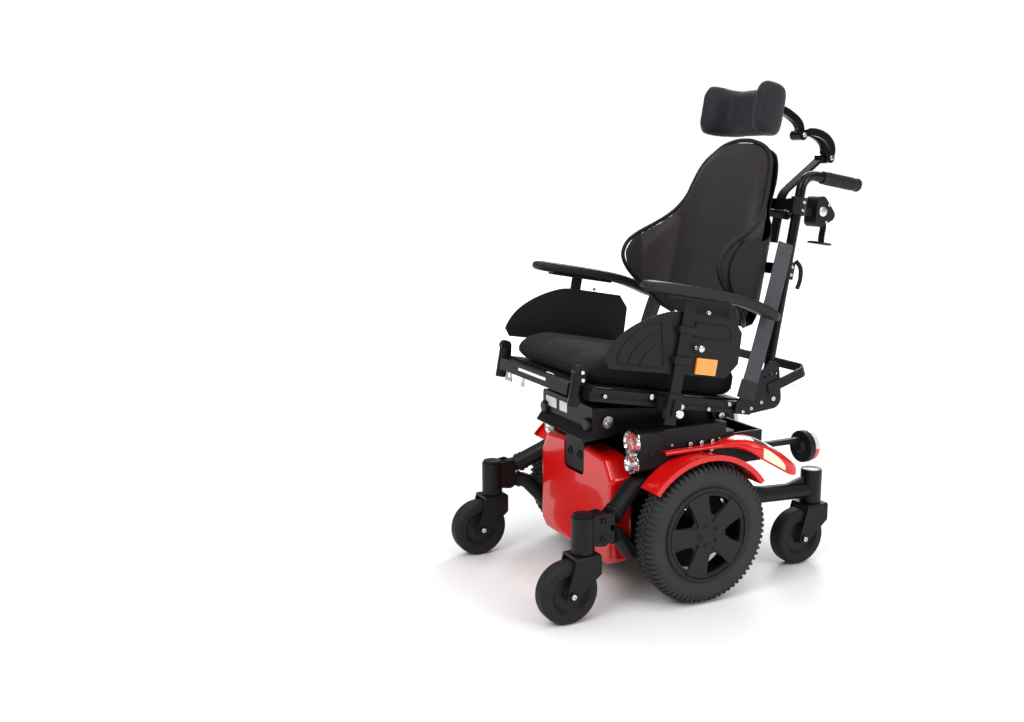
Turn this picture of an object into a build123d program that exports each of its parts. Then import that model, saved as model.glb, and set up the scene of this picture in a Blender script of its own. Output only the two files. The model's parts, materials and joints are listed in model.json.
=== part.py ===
"""Mid-wheel-drive power wheelchair with tilting seat, reclining contoured back and six wheels.

Millimetres, +Z up, the chair faces -Y and the sitter's left hand is +X.  The origin is on the
floor, midway along the chair's length.  The base is drawn about the drive axle's centre line
(BASE), the seating about its tilt pivot (SEAT), and each piece is placed as it is saved.
"""

import os
from math import cos, radians, sin

from build123d import *

os.makedirs("parts", exist_ok=True)

# ---------------------------------------------------------------- driving dimensions
# Drive wheels
WHEEL_R = 177.0  # 14 inch tyre
TYRE_W = 74.0
TRACK_HALF = 282.0
RIM_R = 113.0
RIM_W = 54.0
TREAD_DROP = 7.0
SPOKES = 5
STUB_R = 15.0
# Casters
CASTER_R = 76.0  # 6 inch
CASTER_W = 48.0
CASTER_TRAIL = 43.0
FORK_GAP = 5.0
FORK_T = 5.0
STEM_R = 10.0
BARREL_R = 28.0
BARREL_H = 86.0
FRONT_STEM_X = 256.0
FRONT_STEM_Y = -316.0
REAR_STEM_X = 186.0
REAR_STEM_Y = 427.0
# Suspension arms
UPPER_ARM_R = 23.0
LOWER_ARM_R = 20.0
REAR_ARM_R = 22.0
ARM_PIN_R = 8.0
ARM_PIVOT_X = 205.0
FRONT_PIVOT_Y = -100.0
FRONT_PIVOT_Z = 296.0
REAR_PIVOT_Y = 165.0
REAR_PIVOT_Z = 225.0
HEAD_BOLT_Y = -272.0
HEAD_BOLT_Z = 242.0
HEAD_BOLT_DROP = 44.0
# Base
BOX_HALF = 140.0  # battery box, outside
BOX_FRONT = -180.0
BOX_REAR = 165.0
BOX_LOW = 86.0
BOX_TOP = 300.0
BOX_WALL = 4.0
SHELF_Z = 320.0
DECK_Z = 400.0
DECK_T = 6.0
SIDE_HALF = 235.0
SIDE_FRONT = -85.0
SIDE_REAR = 215.0
PLATE_T = 6.0
SHROUD_HALF = 188.0
SHROUD_FRONT = -200.0
SHROUD_DEPTH = 58.0
SHROUD_LOW = 80.0
SHROUD_TOP = 362.0
SHROUD_ROUND = 16.0
SKIN_T = 3.0
HOLE_R = 4.25  # clearance for an M8 screw
DECK_HOLES_X = 360.0
DECK_HOLES_Y = 160.0
PANEL_HOLES_X = 120.0
PANEL_HOLES_Z = 40.0
GUARD_GAP = 10.0  # mudguard to tyre
GUARD_T = 5.0
LAMP_X = 210.0
LAMP_W = 56.0
REAR_LAMP_X = 175.0
REAR_LAMP_Y = 395.0
REAR_LAMP_Z = 319.0
REAR_LAMP_R = 42.0
# Tilt
TILT = 10.0  # degrees of seat tilt as drawn
TILT_Y = 150.0
TILT_Z = 425.0
TILT_PIN_R = 10.0
MODULE_HALF = 131.0
MODULE_FRONT = -222.0
MODULE_TOP = 478.0
STRUT_FOOT_Y = 60.0
STRUT_FOOT_Z = 349.0
STRUT_EYE_Y = -323.0  # in the seat's frame
STRUT_EYE_Z = 20.0
STRUT_SLOT = 84.0  # width of the deck's slot around the tilt strut
STRUT_CHEEK = 16.0  # half the gap between the cheeks of the strut's foot
FOOT_PIN_R = 6.0
# Seat
RAIL_X = 232.0
RAIL_W = 28.0
RAIL_H = 30.0
RAIL_LOW = 22.0
RAIL_FRONT = -455.0
RAIL_REAR = 12.0
CROSSBAR_Y = -472.0
PAN_T = 4.0
CUSHION_W = 436.0
CUSHION_FRONT = -446.0
CUSHION_REAR = -8.0
CUSHION_H = 78.0
RECEIVER_X = 200.0
RECEIVER_R = 14.0
RECEIVER_BORE_R = 11.0
# Armrests
POST_X = 275.0
POST_T = 6.0
POST_W = 30.0
POST_Y = -245.0
POST_TOP = 292.0
GUARD_X = 265.0
GUARD_PANEL_T = 6.0
PAD_W = 56.0
PAD_FRONT = -384.0
PAD_REAR = 15.0
PAD_H = 28.0
# Back
RECLINE_Y = 70.0
RECLINE_Z = 70.0
CANE_X = 200.0
CANE_Y = 83.0
CANE_R = 12.5
CANE_WALL = 2.0
HANDLE_Z = 638.0
HANDLE_REAR = 262.0
GRIP_R = 16.0
BACK_LOW = 226.0
BACK_TOP = 716.0
BACK_HALF = 222.0
BACK_FRONT = 5.0
BACK_THICK = 42.0
WING_FRONT = -145.0
WING_T = 27.0
# Headrest
HEAD_BAR_Y = 190.0
HEAD_BAR_T = 8.0
HEAD_BAR_W = 30.0
LINK_LOW_Y = 319.0
LINK_LOW_Z = 720.0
LINK_TOP_Y = 211.0
LINK_TOP_Z = 763.0
LINK_BOSS_R = 14.0
BALL_Y = 84.0
BALL_Z = 795.0
HEAD_HALF = 128.0
HEAD_LOW = 723.0
HEAD_TOP = 862.0
HEAD_BACK = 62.0
HEAD_FACE = 10.0
HEAD_WING = -75.0
# Fits
RUN = 0.05  # radial clearance of a running pin
FREE = 1.0  # side clearance between moving pieces
SLIP = 0.4  # clearance of a sliding fit

# ---------------------------------------------------------------- frames and helpers
FRONT_REACH = -FRONT_STEM_Y + CASTER_TRAIL + CASTER_R
REAR_REACH = (
    TILT_Y + LINK_LOW_Y * cos(radians(TILT)) + LINK_LOW_Z * sin(radians(TILT)) + LINK_BOSS_R
)
AXLE_Y = (FRONT_REACH - REAR_REACH) / 2

BASE = Plane(origin=(0, AXLE_Y, 0))
SEAT = Plane(
    origin=(0, AXLE_Y + TILT_Y, TILT_Z),
    x_dir=(1, 0, 0),
    z_dir=(0, sin(radians(TILT)), cos(radians(TILT))),
)
LEFT, RIGHT = 1, -1
HANDS = ((LEFT, "left"), (RIGHT, "right"))


def side(x=0.0, y=0.0, z=0.0):
    """Upright plane facing +X through (x, y, z): its x runs to the rear and its y runs up."""
    return Plane(origin=(x, y, z), x_dir=(0, 1, 0), z_dir=(1, 0, 0))


def front(y=0.0):
    """Upright plane facing the rear (+Y) at y: its x runs to the sitter's right, its y up."""
    return Plane(origin=(0, y, 0), x_dir=(-1, 0, 0), z_dir=(0, 1, 0))


def save(piece, label, frame=BASE):
    """Places a finished piece in its frame, names it and writes it."""
    placed = piece.moved(frame.location)
    placed.label = label
    export_step(placed, f"parts/{label}.step")


def save_hand(piece, label, hand, frame=BASE):
    """Saves the left-hand piece as drawn, or its mirror image for the right hand."""
    save(piece if hand == LEFT else mirror(piece, about=Plane.YZ), label, frame)


# ---------------------------------------------------------------- drive wheels
def drive_tyre():
    """Pneumatic tyre: a C section open to the rim, turned about X."""
    half = TYRE_W / 2
    bead = RIM_W / 2
    wall = 8.0
    shoulder_x = half - 6
    shoulder_r = WHEEL_R - TREAD_DROP
    bulge_r = (RIM_R + WHEEL_R) / 2
    with BuildPart() as tyre:
        with BuildSketch(Plane.XY):
            with BuildLine():
                Line((-bead, RIM_R), (-bead, RIM_R + 9))
                ThreePointArc((-bead, RIM_R + 9), (-half, bulge_r), (-shoulder_x, shoulder_r))
                ThreePointArc(
                    (-shoulder_x, shoulder_r), (0, WHEEL_R), (shoulder_x, shoulder_r)
                )
                ThreePointArc((shoulder_x, shoulder_r), (half, bulge_r), (bead, RIM_R + 9))
                Line((bead, RIM_R + 9), (bead, RIM_R))
                Line((bead, RIM_R), (-bead, RIM_R))
            make_face()
            with Locations((0, bulge_r - 2)):
                Ellipse(half - wall, (WHEEL_R - RIM_R) / 2 - wall, mode=Mode.SUBTRACT)
            with Locations((0, RIM_R + 8)):
                Rectangle(RIM_W - 2 * wall, 24, mode=Mode.SUBTRACT)
        revolve(axis=Axis.X)
    return tyre.part


def drive_rim():
    """Rim with a five-spoke outer face, hub, wheel bolts and the stub shaft to the gearbox."""
    half = RIM_W / 2
    flange_r = RIM_R + 7
    flange_t = 3.0
    well = 5.0
    face_t = 6.0
    hub_r = 30.0
    cap_r = 34.0
    cap_t = 4.0
    stub_length = 36.0
    stub_from = half + 7
    window_in, window_out, spoke_w = 52.0, 99.0, 50.0
    with BuildPart() as rim:
        with BuildSketch(Plane.XY):
            with BuildLine():
                Polyline(
                    (-half, RIM_R),
                    (-half, flange_r),
                    (-half - flange_t, flange_r),
                    (-half - flange_t, RIM_R - well),
                    (half + flange_t - face_t, RIM_R - well),
                    (half + flange_t - face_t, 0),
                    (half + flange_t, 0),
                    (half + flange_t, flange_r),
                    (half, flange_r),
                    (half, RIM_R),
                    close=True,
                )
            make_face()
        revolve(axis=Axis.X)
        with BuildSketch(side(half + flange_t)):
            Circle(window_out)
            Circle(window_in, mode=Mode.SUBTRACT)
            with PolarLocations(0, SPOKES, start_angle=180 / SPOKES):
                with Locations((window_out / 2, 0)):
                    Rectangle(window_out * 1.2, spoke_w, mode=Mode.SUBTRACT)
        extrude(amount=-face_t, mode=Mode.SUBTRACT)
        with BuildSketch(side(half + flange_t)):
            Circle(cap_r)
        extrude(amount=cap_t)
        with BuildSketch(side(half + flange_t + cap_t)):
            with PolarLocations(cap_r * 0.68, SPOKES):
                RegularPolygon(5, 6)
        extrude(amount=2)
        with BuildSketch(side(-stub_from)):
            Circle(hub_r)
        extrude(amount=stub_from + half)
        with BuildSketch(side(-stub_from)):
            Circle(STUB_R - RUN)
        extrude(amount=-stub_length)
    return rim.part


for hand, name in HANDS:
    wheel_frame = Plane(origin=(hand * TRACK_HALF, AXLE_Y, WHEEL_R))
    save_hand(drive_tyre(), f"drive_tyre_{name}", hand, wheel_frame)
    save_hand(drive_rim(), f"drive_rim_{name}", hand, wheel_frame)


# ---------------------------------------------------------------- casters
CROWN_Z = 2 * CASTER_R + 6  # underside of the fork crown
CROWN_T = 7.0
BARREL_LOW = CROWN_Z + CROWN_T + 3
BARREL_TOP = BARREL_LOW + BARREL_H
AXLE_R = 6.0


def caster_wheel():
    """Solid tyre on a dished hub, turned about X, with a running bore for the axle."""
    half = CASTER_W / 2
    crown = 12.0
    hub_edge_r = CASTER_R * 0.62
    dish_r = CASTER_R * 0.52
    dish = 11.0
    boss_r = 15.0
    with BuildPart() as wheel:
        with BuildSketch(Plane.XY):
            with BuildLine():
                Line((0, AXLE_R + RUN), (half + 3, AXLE_R + RUN))
                Line((half + 3, AXLE_R + RUN), (half + 3, boss_r))
                Line((half + 3, boss_r), (half - dish, boss_r + 3))
                Line((half - dish, boss_r + 3), (half - dish, dish_r))
                Line((half - dish, dish_r), (half - 3, hub_edge_r))
                Line((half - 3, hub_edge_r), (half, hub_edge_r + 2))
                Line((half, hub_edge_r + 2), (half, CASTER_R - crown))
                ThreePointArc(
                    (half, CASTER_R - crown),
                    (half - crown * 0.4, CASTER_R - crown * 0.3),
                    (half - crown * 1.3, CASTER_R),
                )
                Line((half - crown * 1.3, CASTER_R), (0, CASTER_R))
                Line((0, CASTER_R), (0, AXLE_R + RUN))
            make_face()
            mirror(about=Plane.YZ)
        revolve(axis=Axis.X)
    return wheel.part


def caster_fork():
    """Two-leg fork drawn about its stem: crown, tapered legs, axle and the swivel stem."""
    inner = CASTER_W / 2 + FORK_GAP
    outer = inner + FORK_T
    crown_top = CROWN_Z + CROWN_T
    shoulder = 33.0
    eye_r = 15.0
    axle_y = -CASTER_TRAIL
    with BuildPart() as fork:
        with BuildSketch(side(-outer)):
            with Locations((axle_y, CASTER_R)):
                Circle(eye_r)
            with Locations((0, CROWN_Z - 16)):
                Rectangle(2 * shoulder, 2 * (CROWN_T + 16))
            make_hull()
        extrude(amount=2 * outer)
        with BuildSketch(side(-inner)):
            with Locations((axle_y, 0)):
                Rectangle(4 * CASTER_R, 2 * CROWN_Z)
        extrude(amount=2 * inner, mode=Mode.SUBTRACT)
        with BuildSketch(Plane.XY.offset(crown_top)):
            Rectangle(6 * outer, 8 * shoulder)
        extrude(amount=4 * CROWN_T + 40, mode=Mode.SUBTRACT)
        crown_edges = fork.edges().filter_by(Axis.Y).group_by(Axis.Z)[-1]
        fillet(crown_edges, radius=FORK_T)
        with BuildSketch(side(-outer - 4, axle_y, CASTER_R)):
            Circle(9)
        extrude(amount=4)
        with BuildSketch(side(outer, axle_y, CASTER_R)):
            Circle(9)
        extrude(amount=4)
        with BuildSketch(side(-outer, axle_y, CASTER_R)):
            Circle(AXLE_R)
        extrude(amount=2 * outer)
        with BuildSketch(Plane.XY.offset(crown_top)):
            Circle(BARREL_R - 6)
        extrude(amount=2)
        with BuildSketch(Plane.XY.offset(crown_top)):
            Circle(STEM_R)
        extrude(amount=BARREL_H - 4)
    return fork.part


for end, stem_x, stem_y in (
    ("front", FRONT_STEM_X, FRONT_STEM_Y),
    ("rear", REAR_STEM_X, REAR_STEM_Y),
):
    for hand, name in HANDS:
        stem = Plane(origin=(hand * stem_x, AXLE_Y + stem_y, 0))
        axle = Plane(origin=(hand * stem_x, AXLE_Y + stem_y - CASTER_TRAIL, CASTER_R))
        save(caster_fork(), f"{end}_caster_fork_{name}", stem)
        save(caster_wheel(), f"{end}_caster_wheel_{name}", axle)


# ---------------------------------------------------------------- suspension arms
def disc(plane, radius):
    """A round face on a plane."""
    with BuildSketch(plane) as face:
        Circle(radius)
    return face.sketch


def stem_barrel(x, y):
    """Adds a caster barrel with its blind stem bore at (x, y)."""
    foot = Plane((x, y, BARREL_LOW))
    extrude(disc(foot, BARREL_R), amount=BARREL_H)
    extrude(disc(foot, STEM_R + RUN), amount=BARREL_H - 4, mode=Mode.SUBTRACT)


def pivot_boss(x, y, z, radius, width, bore):
    """Adds a boss on an X axis with a running bore."""
    end_face = side(x - width / 2, y, z)
    extrude(disc(end_face, radius), amount=width)
    bore_face = side(x - width, y, z)
    extrude(disc(bore_face, bore + RUN), amount=2 * width, mode=Mode.SUBTRACT)


TUBE_START = 32.0  # from the lug bolts to the arm tubes
LUG_GAP = 32.0
LUG_T = 6.0


def front_caster_head():
    """Barrel with two side lugs that take the arms, capped, with the lug bolts' heads."""
    lug_rear = HEAD_BOLT_Y + 18
    low = HEAD_BOLT_Z - HEAD_BOLT_DROP
    cap_t = 3.0
    bolt_r = 8.0
    with BuildPart() as head:
        for start in (-LUG_GAP / 2 - LUG_T, LUG_GAP / 2):
            with BuildSketch(side(FRONT_STEM_X + start)):
                with Locations((HEAD_BOLT_Y, HEAD_BOLT_Z), (HEAD_BOLT_Y, low)):
                    Circle(lug_rear - HEAD_BOLT_Y)
                with Locations((FRONT_STEM_Y + 8, (HEAD_BOLT_Z + low) / 2)):
                    Rectangle(10, HEAD_BOLT_DROP + 22)
                make_hull()
            extrude(amount=LUG_T)
        stem_barrel(FRONT_STEM_X, FRONT_STEM_Y)
        with BuildSketch(Plane((FRONT_STEM_X, FRONT_STEM_Y, BARREL_TOP))):
            Circle(BARREL_R - 3)
        extrude(amount=cap_t)
        with BuildSketch(side(FRONT_STEM_X + LUG_GAP / 2 + LUG_T)):
            with Locations((HEAD_BOLT_Y, HEAD_BOLT_Z), (HEAD_BOLT_Y, low)):
                Circle(bolt_r)
        extrude(amount=5)
        with BuildSketch(side(FRONT_STEM_X + LUG_GAP / 2 + LUG_T + 2)):
            with Locations((HEAD_BOLT_Y, HEAD_BOLT_Z), (HEAD_BOLT_Y, low)):
                RegularPolygon(bolt_r / 2, 6)
        extrude(amount=4, mode=Mode.SUBTRACT)
    return head.part


def arm_tube(points, bend, radius):
    """Adds a round tube swept along straight runs joined by bends."""
    with BuildLine() as path:
        FilletPolyline(*points, radius=bend)
    end_face = Plane(origin=path.line @ 0, z_dir=path.line % 0)
    sweep(disc(end_face, radius), path=path.line)


def arm_tongue(z):
    """Adds the flat tongue that sits between the caster head's lugs at height z."""
    with BuildSketch(side(FRONT_STEM_X - LUG_GAP / 2 + FREE)) as tongue:
        with Locations((HEAD_BOLT_Y, z)):
            Circle(13)
        with Locations((HEAD_BOLT_Y + TUBE_START - 4, z)):
            Rectangle(12, 30)
        make_hull()
    extrude(tongue.sketch, amount=LUG_GAP - 2 * FREE)


def front_upper_arm():
    """Upper suspension arm: pivot boss, bent tube with two collars, tongue at the head."""
    tube_start = (FRONT_STEM_X, HEAD_BOLT_Y + TUBE_START, HEAD_BOLT_Z)
    knee = (ARM_PIVOT_X + 9, FRONT_PIVOT_Y - 58, FRONT_PIVOT_Z - 2)
    tube_end = (ARM_PIVOT_X, FRONT_PIVOT_Y - 4, FRONT_PIVOT_Z)
    with BuildPart() as arm:
        arm_tube((tube_start, knee, tube_end), 60, UPPER_ARM_R)
        run = Vector(*knee) - Vector(*tube_start)
        for step, grow in ((4, 3), (16, 2)):
            collar = Vector(*tube_start) + run.normalized() * step
            with BuildSketch(Plane(origin=collar, z_dir=run)):
                Circle(UPPER_ARM_R + grow)
            extrude(amount=7)
        arm_tongue(HEAD_BOLT_Z)
        pivot_boss(ARM_PIVOT_X, FRONT_PIVOT_Y, FRONT_PIVOT_Z, 25, 40, ARM_PIN_R)
    return arm.part


def front_lower_arm():
    """Lower arm: tongue at the head, tube that drops behind the caster, stop pad at its end."""
    low = HEAD_BOLT_Z - HEAD_BOLT_DROP
    tube_start = (FRONT_STEM_X, HEAD_BOLT_Y + TUBE_START, low)
    with BuildPart() as arm:
        arm_tube(
            (
                tube_start,
                (FRONT_STEM_X - 12, HEAD_BOLT_Y + 54, low - 3),
                (ARM_PIVOT_X + 10, HEAD_BOLT_Y + 108, low - 66),
                (ARM_PIVOT_X, FRONT_PIVOT_Y - 10, low - 84),
            ),
            32,
            LOWER_ARM_R,
        )
        with BuildSketch(Plane(origin=tube_start, x_dir=(1, 0, 0), z_dir=(-0.3, 1, 0))):
            Circle(LOWER_ARM_R + 3)
        extrude(amount=7)
        arm_tongue(low)
        with BuildSketch(side(ARM_PIVOT_X - 18, FRONT_PIVOT_Y - 6, low - 84)):
            Circle(LOWER_ARM_R + 3)
        extrude(amount=36)
    return arm.part


def rear_arm():
    """Rear caster arm: pivot boss, tube with a gusset, capped barrel."""
    with BuildPart() as arm:
        arm_tube(
            (
                (REAR_STEM_X, REAR_PIVOT_Y + 4, REAR_PIVOT_Z),
                (REAR_STEM_X, REAR_PIVOT_Y + 95, REAR_PIVOT_Z - 18),
                (REAR_STEM_X, REAR_STEM_Y, REAR_PIVOT_Z - 26),
            ),
            80,
            REAR_ARM_R,
        )
        with BuildSketch(side(REAR_STEM_X - 5)):
            with BuildLine():
                Polyline(
                    (REAR_STEM_Y, BARREL_TOP - 8),
                    (REAR_STEM_Y - 95, REAR_PIVOT_Z - 4),
                    (REAR_STEM_Y - 95, REAR_PIVOT_Z - 30),
                    (REAR_STEM_Y, BARREL_LOW + 10),
                    close=True,
                )
            make_face()
        extrude(amount=10)
        stem_barrel(REAR_STEM_X, REAR_STEM_Y)
        with BuildSketch(Plane((REAR_STEM_X, REAR_STEM_Y, BARREL_TOP))):
            Circle(BARREL_R - 1)
        extrude(amount=3)
        pivot_boss(REAR_STEM_X, REAR_PIVOT_Y, REAR_PIVOT_Z, 24, 42, ARM_PIN_R)
    return arm.part


for hand, name in HANDS:
    save_hand(front_caster_head(), f"front_caster_head_{name}", hand)
    save_hand(front_upper_arm(), f"front_upper_arm_{name}", hand)
    save_hand(front_lower_arm(), f"front_lower_arm_{name}", hand)
    save_hand(rear_arm(), f"rear_arm_{name}", hand)


# ---------------------------------------------------------------- chassis
def chassis_frame():
    """Battery box, shelf, side plates, rear panel and the suspension pins in one weldment."""
    mid_y = (BOX_FRONT + BOX_REAR) / 2
    length = BOX_REAR - BOX_FRONT
    side_mid = (SIDE_FRONT + SIDE_REAR) / 2
    side_length = SIDE_REAR - SIDE_FRONT
    with BuildPart() as frame:
        with BuildSketch(Plane((0, mid_y, BOX_LOW))):
            Rectangle(2 * BOX_HALF, length)
        extrude(amount=SHELF_Z - BOX_LOW)
        with BuildSketch(Plane((0, mid_y, BOX_LOW + BOX_WALL))):
            Rectangle(2 * (BOX_HALF - BOX_WALL), length - 2 * BOX_WALL)
        extrude(amount=SHELF_Z - BOX_LOW - BOX_WALL, mode=Mode.SUBTRACT)
        with BuildSketch(Plane((0, side_mid, SHELF_Z))):
            Rectangle(2 * SIDE_HALF, side_length)
            Rectangle(2 * BOX_HALF - 60, side_length - 90, mode=Mode.SUBTRACT)
        extrude(amount=PLATE_T)
        for x in (-SIDE_HALF, SIDE_HALF - PLATE_T):
            with BuildSketch(side(x, side_mid, (SHELF_Z + DECK_Z) / 2)):
                Rectangle(side_length, DECK_Z - SHELF_Z)
            extrude(amount=PLATE_T)
        with BuildSketch(Plane((0, SIDE_REAR - PLATE_T / 2, (SHELF_Z + 8 + DECK_Z) / 2))):
            Rectangle(2 * SIDE_HALF, PLATE_T)
        extrude(amount=(DECK_Z - SHELF_Z - 8) / 2, both=True)
        with BuildSketch(front(SIDE_REAR - PLATE_T)):
            with Locations((0, (SHELF_Z + DECK_Z) / 2)):
                with GridLocations(PANEL_HOLES_X, PANEL_HOLES_Z, 2, 2):
                    Circle(HOLE_R)
        extrude(amount=PLATE_T, mode=Mode.SUBTRACT)
        # bridge across the shelf's opening with the cheeks and pin of the tilt strut's foot
        with BuildSketch(Plane((0, STRUT_FOOT_Y, SHELF_Z + PLATE_T))):
            Rectangle(2 * BOX_HALF - 30, 56)
        extrude(amount=4)
        for x in (-STRUT_CHEEK - 8, STRUT_CHEEK):
            with BuildSketch(side(x)):
                with Locations((STRUT_FOOT_Y, STRUT_FOOT_Z)):
                    Circle(13)
                with Locations((STRUT_FOOT_Y, SHELF_Z + PLATE_T + 4)):
                    Rectangle(50, 4)
                make_hull()
            extrude(amount=8)
        with BuildSketch(side(-STRUT_CHEEK, STRUT_FOOT_Y, STRUT_FOOT_Z)):
            Circle(FOOT_PIN_R)
        extrude(amount=2 * STRUT_CHEEK)
        for hand in (LEFT, RIGHT):
            # front pins stand out of a gusset under the shelf
            gusset_x = hand * (ARM_PIVOT_X - 28)
            with BuildSketch(side(gusset_x - 4)):
                with Locations((FRONT_PIVOT_Y, FRONT_PIVOT_Z)):
                    Circle(20)
                with Locations((FRONT_PIVOT_Y + 40, SHELF_Z - 2)):
                    Rectangle(70, 8)
                make_hull()
            extrude(amount=8)
            with BuildSketch(side(gusset_x, FRONT_PIVOT_Y, FRONT_PIVOT_Z)):
                Circle(ARM_PIN_R)
            extrude(amount=hand * 56)
            # rear pins stand out of a cheek behind the battery box
            cheek_x = hand * (REAR_STEM_X - 30)
            with BuildSketch(side(cheek_x - 4)):
                with Locations((REAR_PIVOT_Y, REAR_PIVOT_Z)):
                    Circle(22)
                with Locations((REAR_PIVOT_Y - 15, SHELF_Z)):
                    Rectangle(90, 12)
                make_hull()
            extrude(amount=8)
            with BuildSketch(side(cheek_x, REAR_PIVOT_Y, REAR_PIVOT_Z)):
                Circle(ARM_PIN_R)
            extrude(amount=hand * 58)
            # outrigger that carries the rear lamp
            with BuildSketch(Plane((hand * REAR_LAMP_X, SIDE_REAR, REAR_LAMP_Z + 12))):
                Rectangle(14, 2 * (REAR_LAMP_Y - SIDE_REAR))
            extrude(amount=14)
    return frame.part


save(chassis_frame(), "chassis_frame")

BATTERY_GAP = 6.0
with BuildPart() as battery_pair:
    battery_l = (BOX_REAR - BOX_FRONT - 2 * BOX_WALL - 3 * BATTERY_GAP) / 2
    battery_w = 2 * (BOX_HALF - BOX_WALL - BATTERY_GAP)
    battery_h = BOX_TOP - BOX_LOW - BOX_WALL - 30
    mid = (BOX_FRONT + BOX_REAR) / 2
    for shift in (-1, 1):
        centre = mid + shift * (battery_l + BATTERY_GAP) / 2
        with BuildSketch(Plane((0, centre, BOX_LOW + BOX_WALL))):
            RectangleRounded(battery_w, battery_l, 6)
        extrude(amount=battery_h)
        with BuildSketch(Plane((0, centre, BOX_LOW + BOX_WALL + battery_h))):
            with GridLocations(battery_w - 60, 0, 2, 1):
                Circle(8)
        extrude(amount=12)
save(battery_pair.part, "battery_pair")


def shroud_outline(inset=0.0):
    """Front outline of the battery cover in x and z, drawn in the current sketch."""
    half = SHROUD_HALF - inset
    low = SHROUD_LOW + inset
    top = SHROUD_TOP - inset
    with BuildLine() as outline:
        Polyline(
            (-half + 30, low),
            (-half, low + 22),
            (-half, top - 58),
            (-half + 34, top - 8),
            (-70, top),
            (70, top),
            (half - 34, top - 8),
            (half, top - 58),
            (half, low + 22),
            (half - 30, low),
            close=True,
        )
    make_face(outline.edges())
    fillet(vertices().filter_by(lambda v: v.Y > top - 70 and abs(v.X) > 100), 24)


def shroud_block(inset):
    """Solid block of the battery cover, its front edges rounded, smaller by an inset."""
    with BuildPart() as block:
        with BuildSketch(front(SHROUD_FRONT + inset)):
            shroud_outline(inset)
        extrude(amount=SHROUD_DEPTH)
        fillet(block.faces().sort_by(Axis.Y)[0].edges(), radius=SHROUD_ROUND - inset)
    return block.part


with BuildPart() as front_shroud:
    add(shroud_block(0))
    add(shroud_block(SKIN_T), mode=Mode.SUBTRACT)
    # socket opening in the middle of the top edge
    with BuildSketch(front(SHROUD_FRONT - 1)):
        with Locations((0, SHROUD_TOP - 32)):
            RectangleRounded(104, 96, 16)
    extrude(amount=SHROUD_DEPTH + 2, mode=Mode.SUBTRACT)
save(front_shroud.part, "front_shroud")

with BuildPart() as base_deck:
    deck_front, deck_rear = SIDE_FRONT + 1, 132.0
    with BuildSketch(Plane((0, (deck_front + deck_rear) / 2, DECK_Z))):
        Rectangle(2 * SIDE_HALF, deck_rear - deck_front)
        fillet(vertices(), 10)
        # slot for the strut, open at the front
        with Locations((0, -38)):
            RectangleRounded(STRUT_SLOT, 166, 10, mode=Mode.SUBTRACT)
        with GridLocations(DECK_HOLES_X, DECK_HOLES_Y, 2, 2):
            Circle(HOLE_R, mode=Mode.SUBTRACT)
    extrude(amount=DECK_T)
save(base_deck.part, "base_deck")


# ---------------------------------------------------------------- motors and their levers
MOTOR_X = 196.0
MOTOR_R = 40.0
GEAR_HALF = 52.0
GEAR_OUT = TRACK_HALF - RIM_W / 2 - 10
LEVER_Y = 62.0
LEVER_PIN_R = 4.0
with BuildPart() as drive_motors:
    with BuildSketch(side(BOX_HALF, 0, WHEEL_R)):
        RectangleRounded(2 * GEAR_HALF, 2 * GEAR_HALF, 18)
    extrude(amount=GEAR_OUT - BOX_HALF)
    with BuildSketch(side(GEAR_OUT, 0, WHEEL_R)):
        Circle(STUB_R)
    extrude(amount=-40, mode=Mode.SUBTRACT)
    with BuildSketch(front(GEAR_HALF)):
        with Locations((-MOTOR_X, WHEEL_R - 32)):
            Circle(MOTOR_R)
    extrude(amount=165)
    with BuildSketch(side(GEAR_OUT - 12, LEVER_Y, WHEEL_R + 8)):
        Circle(9)
    extrude(amount=8)
    with BuildSketch(side(GEAR_OUT - 12, LEVER_Y, WHEEL_R + 8)):
        Circle(LEVER_PIN_R)
    extrude(amount=17)
    mirror(about=Plane.YZ)
save(drive_motors.part, "drive_motors")

with BuildPart() as freewheel_lever:
    with BuildSketch(side(GEAR_OUT - 3, LEVER_Y, WHEEL_R + 8)):
        Circle(8)
        with Locations((22, 4)):
            Circle(5)
        make_hull()
        Circle(LEVER_PIN_R + RUN, mode=Mode.SUBTRACT)
    extrude(amount=7)
for hand, name in HANDS:
    save_hand(freewheel_lever.part, f"freewheel_lever_{name}", hand)


# ---------------------------------------------------------------- mudguards and side shrouds
MUD_IN = WHEEL_R + GUARD_GAP
MUD_OUT = MUD_IN + GUARD_T
MUD_LIP = 13.0
WHEEL_OUTER_X = TRACK_HALF + TYRE_W / 2
MUD_X0 = TRACK_HALF - TYRE_W / 2 - 4
MUD_START, MUD_END = 36.0, 141.0


def guard_sector(inner, outer):
    """Ring sector over the wheel between the mudguard's rear and front ends."""
    with BuildLine() as outline:
        CenterArc((0, 0), inner, MUD_START, MUD_END - MUD_START)
        CenterArc((0, 0), outer, MUD_START, MUD_END - MUD_START)
        for angle in (MUD_START, MUD_END):
            c, s = cos(radians(angle)), sin(radians(angle))
            Line((inner * c, inner * s), (outer * c, outer * s))
    make_face(outline.edges())


with BuildPart() as mudguards:
    with BuildSketch(side(MUD_X0, 0, WHEEL_R)):
        guard_sector(MUD_IN, MUD_OUT)
    extrude(amount=WHEEL_OUTER_X - MUD_X0)
    with BuildSketch(side(WHEEL_OUTER_X - 4, 0, WHEEL_R)):
        guard_sector(MUD_IN, MUD_IN + MUD_LIP)
    extrude(amount=4)
    mirror(about=Plane.YZ)
save(mudguards.part, "mudguards")

FENDER_X0 = SIDE_HALF + 4
FENDER_X1 = WHEEL_OUTER_X - 8
FENDER_NOSE = (-108, 386)
FENDER_KNEE = (40, 387)
FENDER_CREST = (110, 399)
FENDER_TAIL = (264, 300)


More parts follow.
